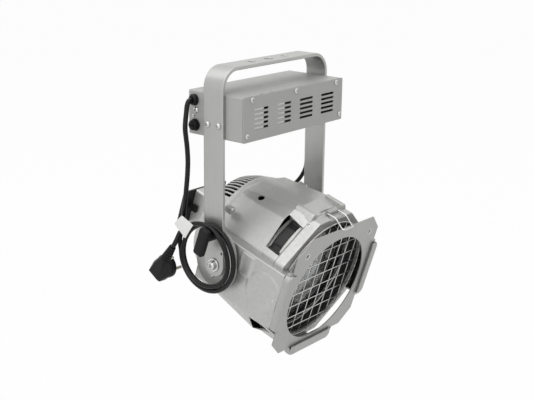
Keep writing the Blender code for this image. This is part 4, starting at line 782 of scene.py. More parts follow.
class Workshop:
    """Turns shells into pieces: gives them a finish, a body to ride on and a record slot."""

    def __init__(self, frame: dict) -> None:
        """Keep the frame, and build finishes as they are asked for.
        """
        self.frame = frame
        self.made: dict[str, bpy.types.Material] = {}
        self.stood_for: set[str] = set()

    def finish(self, finish: Finish) -> bpy.types.Material:
        """The material of a finish, built once.

        Args:
            finish: the finish.

        Returns:
            Its material.
        """
        if finish.name not in self.made:
            self.made[finish.name] = finish.build()
        return self.made[finish.name]

    def mesh(self, name: str, shell: Shell, closed: bool, angle: float) -> bpy.types.Mesh:
        """A mesh whose doubles are merged and whose faces point out.

        Args:
            name: mesh name.
            shell: its surface.
            closed: whether it encloses a space; an open one is turned away from its middle.
            angle: edges sharper than this, in degrees, stay sharp.

        Returns:
            The mesh.
        """
        made = bpy.data.meshes.new(name)
        made.from_pydata(shell.vertices.tolist(), [], [tuple(int(i) for i in f) for f in shell.faces])
        if shell.flat is not None:
            layer = made.uv_layers.new(name="UVMap")
            corners = np.zeros(len(made.loops), int)
            made.loops.foreach_get("vertex_index", corners)
            layer.data.foreach_set("uv", shell.flat[corners].astype(np.float32).ravel())
        work = bmesh.new()
        work.from_mesh(made)
        bmesh.ops.remove_doubles(work, verts=work.verts, dist=WELD)
        bmesh.ops.dissolve_degenerate(work, dist=SLIVER, edges=work.edges)
        bmesh.ops.recalc_face_normals(work, faces=work.faces)
        if not closed:
            middle = sum((v.co for v in work.verts), Vector()) / len(work.verts)
            if sum(f.normal.dot(f.calc_center_median() - middle) * f.calc_area() for f in work.faces) < 0:
                bmesh.ops.reverse_faces(work, faces=work.faces)
        work.to_mesh(made)
        work.free()
        made.shade_smooth()
        made.set_sharp_from_angle(angle=math.radians(angle))
        return made

    def put(self, name: str, shell: Shell, finish: Finish, replaces: Sequence[str], body: Body | None,
            slot: Slot | None = None, wall: float = 0.0, inner: Finish | None = None, bevel: float = 0.0,
            angle: float = 32, carved: Sequence[Shell] = ()) -> Piece:
        """Make one piece.

        Args:
            name: piece name.
            shell: its surface in the row frame.
            finish: outer finish.
            replaces: CAD nodes that it stands for.
            body: body that it rides on, or none for a piece that is bent across a joint.
            slot: record slot, where it isn't the finish's own.
            wall: thickness added inwards to an open shell.
            inner: finish of that wall's inner side.
            bevel: width of the bevel on sharp edges.
            angle: edges sharper than this, in degrees, stay sharp.
            carved: closed shells that are cut out of it, all in the row frame.

        Returns:
            The piece.
        """
        piece = bpy.data.objects.new(name, self.mesh(name, shell, wall == 0, angle))
        bpy.context.scene.collection.objects.link(piece)
        piece.data.materials.append(self.finish(finish))
        if inner is not None:
            piece.data.materials.append(self.finish(inner))
        if wall:
            thick = piece.modifiers.new("Wall", "SOLIDIFY")
            thick.thickness, thick.offset, thick.use_even_offset = wall, -1.0, True
            thick.thickness_clamp, thick.material_offset = 0.5, 1 if inner is not None else 0
        if carved:
            self.carve(piece, carved, angle)
        if bevel:
            change = piece.modifiers.new("Edges", "BEVEL")
            change.width, change.segments, change.limit_method = bevel, 2, "ANGLE"
            change.angle_limit, change.harden_normals = math.radians(angle), True
            change.use_clamp_overlap = True
        even = piece.modifiers.new("Normals", "WEIGHTED_NORMAL")
        even.keep_sharp, even.weight = True, 50
        if body is not None:
            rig.ride(piece, body.value)
        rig.slot(piece, (slot or finish.slot).value)
        if replaces:
            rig.replaces(piece, *replaces)
            self.stood_for.update(replaces)
        log.info("%s: %d faces, rides on %s", name, len(piece.data.polygons), body)
        return piece

    def carve(self, piece: Piece, cutters: Sequence[Shell], angle: float) -> None:
        """Cut closed shells out of a piece and keep the result as its mesh.

        Args:
            piece: piece to cut; its modifiers so far are applied.
            cutters: shells that don't touch each other.
            angle: edges sharper than this, in degrees, stay sharp.
        """
        helper = bpy.data.objects.new("helper", self.mesh("helper", joined(*cutters), True, 32))
        bpy.context.scene.collection.objects.link(helper)
        change = piece.modifiers.new("Carve", "BOOLEAN")
        change.operation, change.solver, change.object = "DIFFERENCE", "EXACT", helper
        bpy.context.view_layer.update()
        seen = piece.evaluated_get(bpy.context.evaluated_depsgraph_get())
        result = bpy.data.meshes.new_from_object(seen)
        piece.modifiers.clear()
        piece.data = result
        result.shade_smooth()
        result.set_sharp_from_angle(angle=math.radians(angle))
        bpy.data.objects.remove(helper)

    def dress_nodes(self) -> None:
        """Give every CAD node that still shows its own finish, or else that of its record slot."""
        for row in self.frame["record"]["subparts"]:
            if row["node"] not in self.stood_for:
                materials = self.frame["nodes"][row["node"]].data.materials
                materials.clear()
                slot_finish = SLOT_FINISH[Slot(row["material_slot"])]
                materials.append(self.finish(NODE_FINISH.get(row["node"], slot_finish)))


@dataclass
class Assembly:
    """Pieces that are built in one frame and ride on one body unless told otherwise."""

    shop: Workshop
    body = Body.YOKE
    frame = Matrix()

    def put(self, name: str, shell: Shell, finish: Finish, *nodes: str, **more: object) -> Piece:
        """One piece from a shell in this assembly's frame; more is what Workshop.put takes."""
        return self.shop.put(name, shell.moved(self.frame), finish, nodes, **{"body": self.body, **more})


@dataclass
class Yoke(Assembly):
    """Bent flat bar with what holds the head in it."""

    half_width: float = LEG_X
    width: float = 0.0357
    thickness: float = 0.005
    corner: float = 0.03
    hole_pitch: float = 0.0368
    plate_radius: float = 0.037
    plate_rise: float = 0.018
    plate_x: float = 0.1102
    plate_screw: tuple[float, float] = (0.0083, -0.299)
    leg_screws: tuple[float, float] = (0.0098, -0.078)
    pin_hole: tuple[float, float] = (-0.0144, -0.2591)
    lock_z: float = -0.2323

    def bent(self, s: Array, y: Array, w: Array) -> Array:
        """The bar's middle line carried round its two bends: level, then an arc, then straight down.

        Args:
            s: distance along the middle line from the top's middle.
            y: place across the bar.
            w: height over the middle line.

        Returns:
            Places, shape (n, 3).
        """
        side, reach = np.where(s < 0, -1.0, 1.0), np.abs(s)
        flat, bend = self.half_width - self.corner, self.corner - self.thickness / 2
        turn = np.clip((reach - flat) / bend, 0, QUARTER)
        over = np.maximum(reach - flat - bend * QUARTER, 0)
        x = side * (np.minimum(reach, flat) + (bend + w) * np.sin(turn))
        return stack(x, y, -self.corner + (bend + w) * np.cos(turn) - over)

    def bar(self) -> None:
        """The bar itself, drilled for its hanging hardware, screws and bolts."""
        arc = (self.corner - self.thickness / 2) * QUARTER
        pivot = self.half_width - self.corner + arc + abs(PIVOT_Z) - self.corner
        half, down = self.width / 2, pivot + PIVOT_Z
        t = np.radians(np.linspace(-90, 90, 25))
        right = stack(pivot + half * np.cos(t), half * np.sin(t))
        outer = denser(np.vstack([right, -right]), 0.003)
        holes = [circle(0.0065), circle(0.0055, (self.hole_pitch, 0)), circle(0.0055, (-self.hole_pitch, 0)),
                 circle(0.0043, (self.lock_z - down, 0)),
                 circle(0.0014, (self.pin_hole[1] - down, self.pin_hole[0]), 12)]
        out, z = self.leg_screws
        for side in (-1, 1):
            holes.append(circle(0.0053, (side * pivot, 0)))
            holes += [circle(0.0026, (side * (down - z), y), 20) for y in (-out, out)]
        bar = plate(outer, holes, self.thickness, 0.0011, self.bent, 0.0035)
        self.put("yoke_flat_bar", bar, BAR, "yoke_bar", angle=60)

    def plates(self) -> None:
        """Capsule plates between the legs and the head."""
        t = np.radians(np.linspace(0, 180, 29))
        half = self.plate_radius * stack(np.cos(t), np.sin(t))
        outer = np.vstack([half + (0, self.plate_rise), -half])
        for side, label in SIDES:
            holes = [circle(0.0053), circle(0.0018, (self.plate_screw[0], self.plate_screw[1] - PIVOT_Z), 16)]
            if side < 0:
                holes.append(circle(0.0043, (0, self.lock_z - PIVOT_Z)))
            shell = plate(outer, holes, 0.003, 0.0006,
                          lambda a, b, w: stack(side * self.plate_x + w, a, PIVOT_Z + b))
            self.put(f"pivot_side_plate_{label}", shell, SHEET, f"pivot_plate_{label}")

    def bolts(self) -> None:
        """Pivot bolts on their washers, and the screws through the legs and into the plates."""
        ring = [(0, 0.0055), (0, 0.0094), (0.0003, 0.01), (0.0013, 0.01), (0.0016, 0.0096), (0.0016, 0.0055)]
        shank = lathe([(-0.0165, 0), (-0.0165, 0.0049), (0, 0.0049)], 24)
        bolt = joined(socket_head(0.007, 0.005), shank)
        for side, label in SIDES:
            way = (side, 0, 0)
            washer = turned(ring, way, (side * 0.1173, 0, PIVOT_Z), 40, loop=True)
            self.put(f"pivot_flat_washer_{label}", washer, STEEL, f"pivot_washer_{label}")
            placed = bolt.moved(pointing(way, (side * 0.1192, 0, PIVOT_Z)))
            self.put(f"pivot_button_bolt_{label}", placed, STEEL, f"pivot_bolt_{label}")
            out, z = self.leg_screws
            for y, end in ((-out, "front"), (out, "rear")):
                head = pan_head(0.0042, 0.003, 0.3 + y * 40, way, (side * 0.1171, y, z))
                self.put(f"leg_pan_screw_{label}_{end}", head, STEEL, f"leg_screw_{label}_{end}")
            small = pan_head(0.0029, 0.0016, 0.9, way, (side * 0.1118, *self.plate_screw))
            self.put(f"plate_screw_{label}", small, STEEL)

    def build(self) -> None:
        """Make the yoke."""
        self.bar()
        self.plates()
        self.bolts()


@dataclass
class BallastBox(Assembly):
    """Folded case between the legs with its louvred cover and what shows on its ends."""

    half_width: float = 0.1117
    top: float = -0.0354
    height: float = 0.0618
    front: float = -0.05025
    rear: float = 0.05025
    wall: float = 0.0015
    slot_size: tuple[float, float] = (0.03, 0.0033)
    slot_pitch: float = 0.0064
    group_pitch: float = 0.05
    cable: tuple[float, float] = (0.039, -0.0485)
    fuse: tuple[float, float] = (0.0372, -0.0832)
    rivet: tuple[float, float] = (0.0414, -0.0712)
    lamp_lead: tuple[float, float] = (0.0275, -0.085)

    def case(self) -> None:
        """A rectangle with round corners carried back from the cover, whose last rings close the rear."""
        outline = rectangle(2 * self.half_width, self.height, 0.0022, (0, self.top - self.height / 2))
        rows = ((self.front + 0.0018, 0), (self.rear - 0.0016, 0), (self.rear - 0.0005, 0.0005),
                (self.rear, 0.0016), (self.rear, 0.0021))
        shell = grid_shell(rings([(y, inset(outline, by)) for y, by in rows]), wrap=True, caps=[-1])
        holes = [rod(r, 0.004, (1, 0, 0), (side * self.half_width, *spot)) for side, spot, r in (
            (-1, self.cable, 0.0061), (-1, self.fuse, 0.0063), (-1, self.rivet, 0.0014),
            (1, self.lamp_lead, 0.0048))]
        self.put("ballast_folded_case", shell, PAINT, "ballast_case", wall=self.wall, carved=holes)

    def cover(self) -> None:
        """Louvred front cover and its screws."""
        outer = rectangle(2 * self.half_width, self.height, 0.0012, (0, self.top - self.height / 2), 3)
        high, low = self.top - 0.0047, self.top - self.height + 0.0087
        across, down = self.half_width - 0.0168, self.half_width - 0.0065
        screws = [(-across, high), (0.0, high), (across, high), (-down, low), (down, low)]
        slots = [((group - 1.5) * self.group_pitch, self.top - 0.032 + (row - 2) * self.slot_pitch)
                 for group in range(4) for row in range(5)]
        holes = [circle(0.0018, spot, 16) for spot in screws]
        holes += [rectangle(*self.slot_size, 0.0009, spot, 2)[::-1] for spot in slots]
        cover = plate(outer, holes, self.wall, 0.0004, upright(self.front + self.wall / 2))
        self.put("ballast_louvred_cover", cover, PAINT, "ballast_cover")
        for number, (x, z) in enumerate(screws, 1):
            head = pan_head(0.0038, 0.0024, number * 0.7, (0, -1, 0), (x, self.front, z))
            self.put(f"cover_pan_screw_{number}", head, STEEL, f"cover_screw_{number}")

    def bracket(self) -> None:
        """Two light uprights close behind the first two groups of louvres, on one foot."""
        floor = self.top - self.height + 0.0018
        foot = rounded_box((0.0732, 0.028, 0.0012), 0.0004, at=(-0.0589, -0.033, floor + 0.0006))
        uprights = [rounded_box((high - low, 0.0012, 0.0425), 0.0004,
                                at=((low + high) / 2, -0.0479, floor + 0.0213))
                    for low, high in ((-0.0955, -0.0678), (-0.045, -0.0223))]
        self.put("ballast_bracket", joined(foot, *uprights), BRACKET, "module_bracket")

    def glands(self) -> None:
        """A gland's nut on either end, with hexagon flats on the part next to the case."""
        def nut(along: Array, radius: Array, angle: Array) -> Array:
            """Radius of the flats between two places along the axis."""
            flats = 0.9 / np.cos((angle % (math.pi / 3)) - math.pi / 6)
            return np.where((along > 0.0003) & (along < 0.0032), radius * flats, radius)

        for name, side, spot, r in (("cable_gland", -1, self.cable, 0.008),
                                    ("lamp_gland", 1, self.lamp_lead, 0.0065)):
            profile = [(-0.0058, 0), (-0.0058, r), (-0.0018, r), (-0.0018, r * 0.72), (0.0002, r * 0.72),
                       (0.0002, r), (0.0004, r * 1.02), (0.0031, r * 1.02), (0.0033, r * 0.93),
                       (0.005, r * 0.88), (0.006, r * 0.74), (0.0062, r * 0.5), (0.0048, r * 0.45),
                       (0.0048, 0)]
            shell = turned(profile, (side, 0, 0), (side * self.half_width, *spot), 48, wave=nut)
            self.put(f"{name}_nut", shell, NYLON, name, angle=40)

    def left_end(self) -> None:
        """Fuse holder and ribbed cap, earth screw and a small rivet."""
        def knurl(along: Array, radius: Array, angle: Array) -> Array:
            """Shallow ribs round the cap's side."""
            share = 1 - 0.035 * (np.cos(18 * angle) > 0)
            return radius * np.where((radius > 0.006) & (along < 0.0072), share, 1)

        left, fuse = (-1, 0, 0), (-self.half_width, *self.fuse)
        holder = turned([(-0.03, 0.003), (-0.03, 0.006), (-0.0048, 0.006), (-0.0048, 0.0078),
                         (-0.0018, 0.0078), (-0.0018, 0.006), (0.0002, 0.006), (0.0002, 0.0078),
                         (0.0008, 0.0084), (0.0016, 0.0084), (0.0021, 0.0078), (0.0021, 0.003)],
                        left, fuse, 40, loop=True)
        self.put("fuse_holder_body", holder, NYLON, "fuse_holder")
        cap = turned([(0.0023, 0), (0.0023, 0.007), (0.003, 0.0074), (0.007, 0.0072), (0.0078, 0.0064),
                      (0.0081, 0.005), (0.0081, 0)], left, fuse, 72, wave=knurl)
        coin = rounded_box((0.0036, 0.0125, 0.0014), 0.0002, at=(-self.half_width - 0.0081, *self.fuse))
        self.put("fuse_ribbed_cap", cap, NYLON, "fuse_cap", body=Body.FUSE, carved=[coin], angle=40)
        at = (-self.half_width, 0.036, -0.0625)
        earth = pan_head(0.0042, 0.003, 0.2, left, at)
        shank = turned([(-0.008, 0), (-0.008, 0.0015), (0, 0.0015)], left, at, 16)
        self.put("earth_pan_screw", joined(earth, shank), STEEL, "earth_screw")
        rivet = turned([(0, 0), (0, 0.0024), (0.0006, 0.0022), (0.001, 0.0012), (0.001, 0.0008),
                        (-0.0004, 0.0007), (-0.0004, 0)], left, (-self.half_width - 0.00005, *self.rivet))
        self.put("end_rivet", rivet, STEEL)

    def on_top(self) -> None:
        """A rivet and a small hole's ring on the case's top, and the cover's two hooks at its edge."""
        up = (0, 0, 1)
        rivet = pan_head(0.0022, 0.001, 0.5, up, (-0.0984, -0.0073, self.top))
        ring = turned([(-0.0004, 0.0009), (0.0003, 0.0011), (0.0005, 0.0016), (0.0003, 0.0021),
                       (-0.0004, 0.0023)], up, (0.0219, -0.0032, self.top), loop=True)
        self.put("case_top_rivets", joined(rivet, ring), STEEL)
        tabs = [rounded_box((0.006, 0.0016, 0.003), 0.0006, 2, (x, self.front + 0.0012, self.top))
                for x in (-0.0734, -0.0526)]
        self.put("cover_hook_tabs", joined(*tabs), PAINT)

    def build(self) -> None:
        """Make the box."""
        self.case()
        self.cover()
        self.bracket()
        self.glands()
        self.left_end()
        self.on_top()


@dataclass
class Casting(Assembly):
    """Main casting of the head: faceted shell, cheeks, lugs, windows and bezel."""

    body = Body.HEAD
    frame = HEAD
    rear: float = -0.041
    shoulder: float = 0.057
    front: float = 0.101
    rear_radius: float = 0.0925
    wall: float = 0.0034
    cheek_x: float = 0.106
    cheek_half: float = 0.0445
    facet_u: float = -0.03
    facet_corners: tuple[Point, ...] = (
        (0, 0.0948), (-0.0433, 0.0904), (-0.054, 0.0856), (-0.0893, 0.044), (-0.0925, 0))
    shoulder_corners: tuple[Point, ...] = (
        (0, 0.108), (-0.0425, 0.104), (-0.062, 0.0935), (-0.094, 0.047), (-0.094, 0))
    bezel_corners: tuple[Point, ...] = (
        (0, 0.104), (-0.038, 0.102), (-0.062, 0.0815), (-0.0985, 0.0505), (-0.0985, 0))
    shares: tuple[Point, ...] = (
        (0, 0.2, 0.4, 0.6, 0.8, 1), (0, 0.28, 0.55, 0.78, 1), (0, 0.2, 0.4, 0.58, 0.72, 0.84, 1),
        (0, 0.25, 0.5, 0.75, 1))
    curve_points: int = 4
    window_rows: tuple[int, int] = (15, 18)
    hole_way: tuple[float, float] = (0.363, 0.932)
    bezel_way: tuple[float, float] = (0.65, 0.76)

    def whole(self, corners: Sequence[Point], off: float = 0.0026) -> Array:
        """A closed outline from its left upper quarter: straight sides parted at fixed shares, with a short
        curve (1-t)^2 A + 2t(1-t) B + t^2 C over each corner B, mirrored to all four quarters.

        Args:
            corners: corner points from the top's middle to the side's middle.
            off: how far from a corner its curve starts.

        Returns:
            Points (x, v), as many for any outline.
        """
        p, out, final = np.array(corners, float), [], len(self.shares) - 1
        t = np.linspace(0, 1, self.curve_points + 2)[1:-1, None]
        for i, shares in enumerate(self.shares):
            way = (p[i + 1] - p[i]) / np.linalg.norm(p[i + 1] - p[i])
            a, c = p[i] + way * (off if i else 0), p[i + 1] - way * (off if i < final else 0)
            out.append(a + (c - a) * np.array(shares)[:, None])
            if i < final:
                on = (p[i + 2] - p[i + 1]) / np.linalg.norm(p[i + 2] - p[i + 1])
                out.append((1 - t) ** 2 * c + 2 * t * (1 - t) * p[i + 1] + t**2 * (p[i + 1] + on * off))
        quarter = np.vstack(out)
        back = quarter[::-1]
        return np.vstack([quarter, back[1:] * (1, -1), quarter[1:] * (-1, -1), back[1:-1] * (-1, 1)])

    def window_columns(self, count: int) -> Array:
        """Which of the outline's sides are open: those of the slanted facet, in all four quarters. The lower
        windows are two sides shorter.

        Args:
            count: sides of the whole outline.

        Returns:
            One truth value per side.
        """
        curve, half = self.curve_points, count // 2
        start = len(self.shares[0]) + curve + 2
        stop = start + len(self.shares[1]) + curve + 3
        upper, lower = np.arange(start, stop), np.arange(start, stop - 2)
        columns = np.zeros(count, bool)
        for which in (upper, half - 1 - lower, half + lower, 2 * half - 1 - upper):
            columns[which % count] = True
        return columns

    def shape(self) -> Shell:
        """The shell's outside: the rear circle turns into facets within 11 mm, which grow to the shoulder's
        outline and cross to the bezel's. Its faces are left out at the four windows.

        Returns:
            An open shell.
        """
        shoulder, bezel, facets = (self.whole(c) for c in (
            self.shoulder_corners, self.bezel_corners, self.facet_corners))
        round_rear = facets / np.linalg.norm(facets, axis=1)[:, None] * self.rear_radius
        rows = [(self.rear + share * (self.facet_u - self.rear), round_rear + rise * (facets - round_rear))
                for share, rise in ((0, 0), (0.3, 0.15), (0.6, 0.5), (0.85, 0.85))]
        rows += [(self.facet_u + share * (self.shoulder - self.facet_u), facets + share * (shoulder - facets))
                 for share in np.linspace(0, 1, 11)]
        for u, share, by in ((0.0574, 0.02, 0), (0.068, 0.45, 0), (0.078, 0.86, 0), (0.0842, 1, 0),
                             (0.0846, 1, 0.0009), (0.0852, 1, 0.0009), (0.0856, 1, 0), (0.093, 1, 0),
                             (0.1002, 1, 0), (0.1008, 1, 0.0003), (0.101, 1, 0.0008)):
            outline = shoulder * (1 - share) + bezel * share
            rows.append((u, outline * (1 - by / np.linalg.norm(outline, axis=1)[:, None])))
        keep = np.ones((len(rows) - 1, len(shoulder)), bool)
        keep[slice(*self.window_rows), self.window_columns(len(shoulder))] = False
        return grid_shell(rings([(-u, outline) for u, outline in rows]), wrap=True, keep=keep)

    def cheek(self, side: int) -> Shell:
        """One cheek: a channel section carried along u. Its face stands proud by a round disc and an upright
        boss, each a step smoothed over a millimetre or more.

        Args:
            side: -1 for the left one.

        Returns:
            An open shell.
        """
        def step(distance: Array, soft: float) -> Array:
            """Smooth step from 0 to 1 as the distance falls through 0."""
            s = np.clip(0.5 - distance / soft, 0, 1)
            return s * s * (3 - 2 * s)

        r, half = 0.0016, self.cheek_half
        t = np.linspace(0, QUARTER, 5)
        bend, rise = self.cheek_x - r + r * np.sin(t), half - r + r * np.cos(t)
        x = np.concatenate([[0.09, 0.098], bend, np.full(65, self.cheek_x), bend[::-1], [0.098, 0.09]])
        v = np.concatenate([[half, half], rise, np.linspace(half - r, -half + r, 67)[1:-1], -rise[::-1],
                            [-half, -half]])
        u = np.concatenate([[-0.036, -0.0357, -0.035], np.arange(-0.033, 0.111, 0.0012), [0.1112]])
        uu, vv = np.meshgrid(u, v, indexing="ij")
        xx = np.broadcast_to(x, uu.shape).copy()
        disc = step(np.hypot(uu - 0.085, vv - 0.001) - 0.03, 0.0016)
        boss = step(np.maximum(np.abs(uu - 0.046) - 0.014, np.abs(vv - 0.0245) - 0.0195) + 0.003, 0.006)
        on_face = (np.abs(vv) < half - 0.003) & (xx > self.cheek_x - 0.0002)
        xx += on_face * (0.0007 * disc + 0.0016 * boss * (1 - disc))
        rear_edge = x > 0.1
        xx[:3] -= np.array([r, 0.0006, 0.0001])[:, None] * rear_edge[None]
        shell = grid_shell(stack(side * xx, -uu, vv))
        start = len(shell.vertices)
        rear = stack(side * np.where(rear_edge, x - r, x), 0.036, v)
        shell.vertices = np.vstack([shell.vertices, rear])
        shell.faces.append(list(range(start, start + len(v))))
        return shell

    def bezel_face(self) -> Shell:
        """The bezel's front ring: flat, with a round opening.

        Returns:
            A closed shell.
        """
        outline = self.whole(self.bezel_corners)
        if np.cross(outline[0], outline[1]) < 0:
            outline = outline[::-1]
        keep = np.linalg.norm(np.roll(outline, -1, 0) - outline, axis=1) > WELD
        return plate(inset(outline[keep], 0.0006), [circle(0.0925, sides=96)], 0.0034, 0.0005,
                     upright(-(self.front - 0.0018)))

    def sleeve_lip(self, middle: float, near: float, far: float, outer: float) -> Shell:
        """Part of the round sleeve that shows at the front or the rear of a window.

        Args:
            middle: angle of the window's middle about the beam axis.
            near: where it starts along the beam.
            far: where it ends.
            outer: its outer radius.

        Returns:
            A closed shell.
        """
        inner = 0.0982
        r, u = np.array([(inner, near + 0.0004), (outer - 0.0008, near), (outer, near + 0.0008), (outer, far),
                         (inner, far)]).T
        angle = middle + np.linspace(-0.3, 0.27, 22)[:, None]
        return grid_shell(stack(r * np.cos(angle), -u, r * np.sin(angle)), wrap=True, caps=(0, -1))

    def lug(self, side: int, up: int) -> Shell:
        """A sloped lug beside a window: its trapezium carried along u.

        Args:
            side: -1 for the left one.
            up: 1 for an upper one.

        Returns:
            A closed shell.
        """
        outline = np.array([(-0.0285, 0.09), (-0.0475, 0.09), (-0.037, 0.1083), (-0.036, 0.1087),
                            (-0.0305, 0.1087), (-0.0295, 0.1083)]) * (-side, up)
        return grid_shell(rings([(-0.055, outline), (-0.087, outline)]), wrap=True, caps=(0, -1))

    def build(self) -> None:
        """Make the casting, with its holes and the pieces that are cast on, and the screws in it."""
        cuts = []
        for side in (-1, 1):
            for up in (1, -1):
                for radius, half, (x, z), at, sides in (
                        (0.005, 0.02, self.hole_way, (side * 0.0472, -0.0008, up * 0.0932), 32),
                        (0.0021, 0.01, self.bezel_way, (side * 0.0456, -0.0885, up * 0.0956), 20)):
                    cuts.append(rod(radius, half, (side * x, 0, up * z), at, sides))
        cuts.append(rounded_box((0.038, 0.026, 0.02), 0.0012, 2, (0.005, -0.092, 0.1122)))
        # The inner sides of the casting and of its cheeks take the dark painted shade of the hollow inside.
        self.put("lamp_casting", self.shape(), CASTING, "lamp_housing", wall=self.wall, inner=CASTING_INSIDE_SHADE,
                 carved=[cut.moved(HEAD) for cut in cuts], bevel=0.0004, angle=35)
        for side, label in SIDES:
            self.put(f"casting_cheek_{label}", self.cheek(side), CASTING, wall=0.003, inner=CASTING_INSIDE_SHADE,
                     angle=40)
            for up, end in ENDS:
                self.put(f"casting_lug_{end}_{label}", self.lug(side, up), CASTING, bevel=0.0007)
        lips = [self.sleeve_lip(math.atan2(up * 0.762, side * 0.647), *ends) for side in (-1, 1)
                for up in (1, -1) for ends in ((0.0778, 0.085, 0.1016), (0.0562, 0.06, 0.1))]
        self.put("casting_sleeve_lips", joined(*lips), CASTING)
        self.put("casting_bezel_ring", self.bezel_face(), CASTING)
        floor = rounded_box((0.038, 0.024, 0.0016), 0.0005, at=(0.005, -0.0905, 0.1012))
        self.put("casting_recess_floor", floor, CASTING)
        self.screws()

    def screws(self) -> None:
        """Bezel screws, rivets in the cheeks and the screwed lugs at the rear."""
        for side, label in SIDES:
            for up, end in ENDS:
                head = pan_head(0.0019, 0.0008, 0.4, (side * self.bezel_way[0], 0, up * self.bezel_way[1]),
                                (side * 0.045, -0.0885, up * 0.0949))
                self.put(f"bezel_screw_{end}_{label}", head, STEEL)
            rivet = turned([(0, 0), (0, 0.0021), (0.0006, 0.0019), (0.001, 0.001), (0.0011, 0)],
                           (side, 0, 0), (side * 0.1059, -0.1045, -0.0005))
            self.put(f"cheek_rivet_{label}", rivet, STEEL)
            boss = rounded_box((0.01, 0.013, 0.01), 0.0022, 3, (side * 0.0825, 0.022, 0.0705))
            self.put(f"rear_lug_{label}", boss, CASTING)
            head = pan_head(0.0025, 0.0018, 0.4, (side * 0.5, -1, 0.3), (side * 0.085, 0.0155, 0.0735))
            self.put(f"rear_lug_screw_{label}", head, STEEL)


@dataclass
class LampCap(Assembly):
    """Vented dome with the reflector, and the lamp's base that draws out of it."""

    body = Body.HEAD
    frame = HEAD
    slots: int = 17
    pitch: float = math.radians(4.6)
    slot_share: float = 0.62

    def dome(self) -> None:
        """A profile turned about the beam axis; its faces are left out between the fins."""
        y, r = np.array([(0.0413, 0.0915), (0.044, 0.0908), (0.047, 0.09), (0.052, 0.0884),
                         (0.058, 0.0865), (0.064, 0.0838), (0.07, 0.0805), (0.0735, 0.0786),
                         (0.0755, 0.0774), (0.077, 0.0763), (0.0778, 0.0748), (0.078, 0.073),
                         (0.078, 0.05), (0.078, 0.0265)]).T[:, :, None]
        half = self.pitch * self.slot_share / 2
        centres = (np.arange(self.slots) - (self.slots - 1) / 2) * self.pitch
        edges = stack(centres - half, centres + half).ravel()
        fan = np.concatenate([edges, np.linspace(edges[-1], math.pi - edges[-1], 26)[1:-1]])
        turn = np.concatenate([fan + QUARTER, fan + 3 * QUARTER])
        keep = np.ones((len(r) - 1, len(turn)), bool)
        first = np.arange(0, 2 * self.slots, 2)
        keep[2:8, np.concatenate([first, len(fan) + first])] = False
        shell = grid_shell(stack(-r * np.cos(turn), y, r * np.sin(turn)), wrap=True, keep=keep)
        # The dome's inner side takes the dark painted shade of the hollow inside.
        self.put("dome_with_fins", shell, CASTING, "vented_dome", wall=0.0026, inner=CASTING_INSIDE_SHADE,
                 bevel=0.0003)
        for side, label in SIDES:
            for up, end in ENDS:
                head = pan_head(0.0028, 0.0018, 0.4, (side * 0.86, 0.28, up * 0.42),
                                (side * 0.0795, 0.0445, up * 0.043))
                self.put(f"dome_screw_{end}_{label}", head, STEEL)

    def base(self) -> None:
        """Lamp base: a round-cornered rectangle carried back with a little draft, its plate and latch."""
        outline = rectangle(0.05, 0.06, 0.0045, steps=6)
        rows = [(y, inset(outline, by)) for y, by in (
            (0.0783, 0.0), (0.1335, 0.0006), (0.1347, 0.001), (0.135, 0.002))]
        # The base's inner side takes the dark painted shade of the hollow inside.
        self.put("lamp_base_shell", grid_shell(rings(rows), wrap=True), CASTING, "lamp_base_housing",
                 body=Body.CAP, wall=0.003, inner=CASTING_INSIDE_SHADE, angle=45)
        back = plate(rectangle(0.094, 0.057, 0.004, steps=6), [], 0.004, 0.001, upright(0.1373, 1))
        self.put("rear_plate", back, ENAMEL, "back_plate", body=Body.CAP)
        latch = rounded_box((0.0045, 0.01, 0.0115), 0.001, 3)
        ribs = [rounded_box((0.001, 0.001, 0.0095), 0.0003, at=(-0.0024, y, 0))
                for y in (-0.0028, 0, 0.0028)]
        latch = joined(latch, *ribs).moved(Matrix.Translation((-0.02755, 0.127, 0.001)))
        self.put("latch_slider", latch, NYLON, "cap_latch", body=Body.LATCH)

    def lamp(self) -> None:
        """Glass envelope with its burner and the two wires that hold it."""
        way, at = (0, 1, 0), (0, 0, 0)
        glass = turned([(0.0553, 0), (0.0553, 0.0084), (0.045, 0.0084), (0.042, 0.0072), (-0.01, 0.007),
                        (-0.014, 0.0062), (-0.0168, 0.0044), (-0.0178, 0.002), (-0.018, 0)], way, at, 32)
        self.put("lamp_envelope", glass, GLASS, "lamp", body=Body.CAP)
        burner = turned([(0.034, 0), (0.034, 0.0014), (0.024, 0.0014), (0.022, 0.004), (0.008, 0.004),
                         (0.006, 0.0014), (-0.004, 0.0014), (-0.004, 0)], way, at)
        self.put("lamp_burner", burner, CERAMIC, body=Body.CAP)
        wires = [tube(np.array([(x, 0.042, 0.0), (x, -0.006, 0.0), (x * 0.2, -0.009, 0.0)]), 0.0004, 8)
                 for x in (-0.0052, 0.0052)]
        self.put("lamp_wires", joined(*wires), STEEL, body=Body.CAP)

    def reflector(self) -> None:
        """Spun bowl: depth(r) grows with r squared from the throat to the rim, then a flat flange."""
        throat, rim = 0.015, 0.088
        r = np.linspace(throat, rim, 24)
        deep = -0.043 + (r**2 - throat**2) / (rim**2 - throat**2) * 0.0953
        flange = [(-0.0539, 0.0885), (-0.0539, 0.0972), (-0.0523, 0.0972), (-0.0523, 0.0893)]
        profile = np.vstack([stack(-deep, r), flange, stack(-deep + 0.0012, r + 0.0005)[::-1]])
        bowl = lathe(profile, 96, loop=True).moved(ALONG_BEAM)
        self.put("reflector_bowl", bowl, MIRROR, "reflector")

    def build(self) -> None:
        """Make the rear of the head."""
        self.dome()
        self.base()
        self.lamp()
        self.reflector()


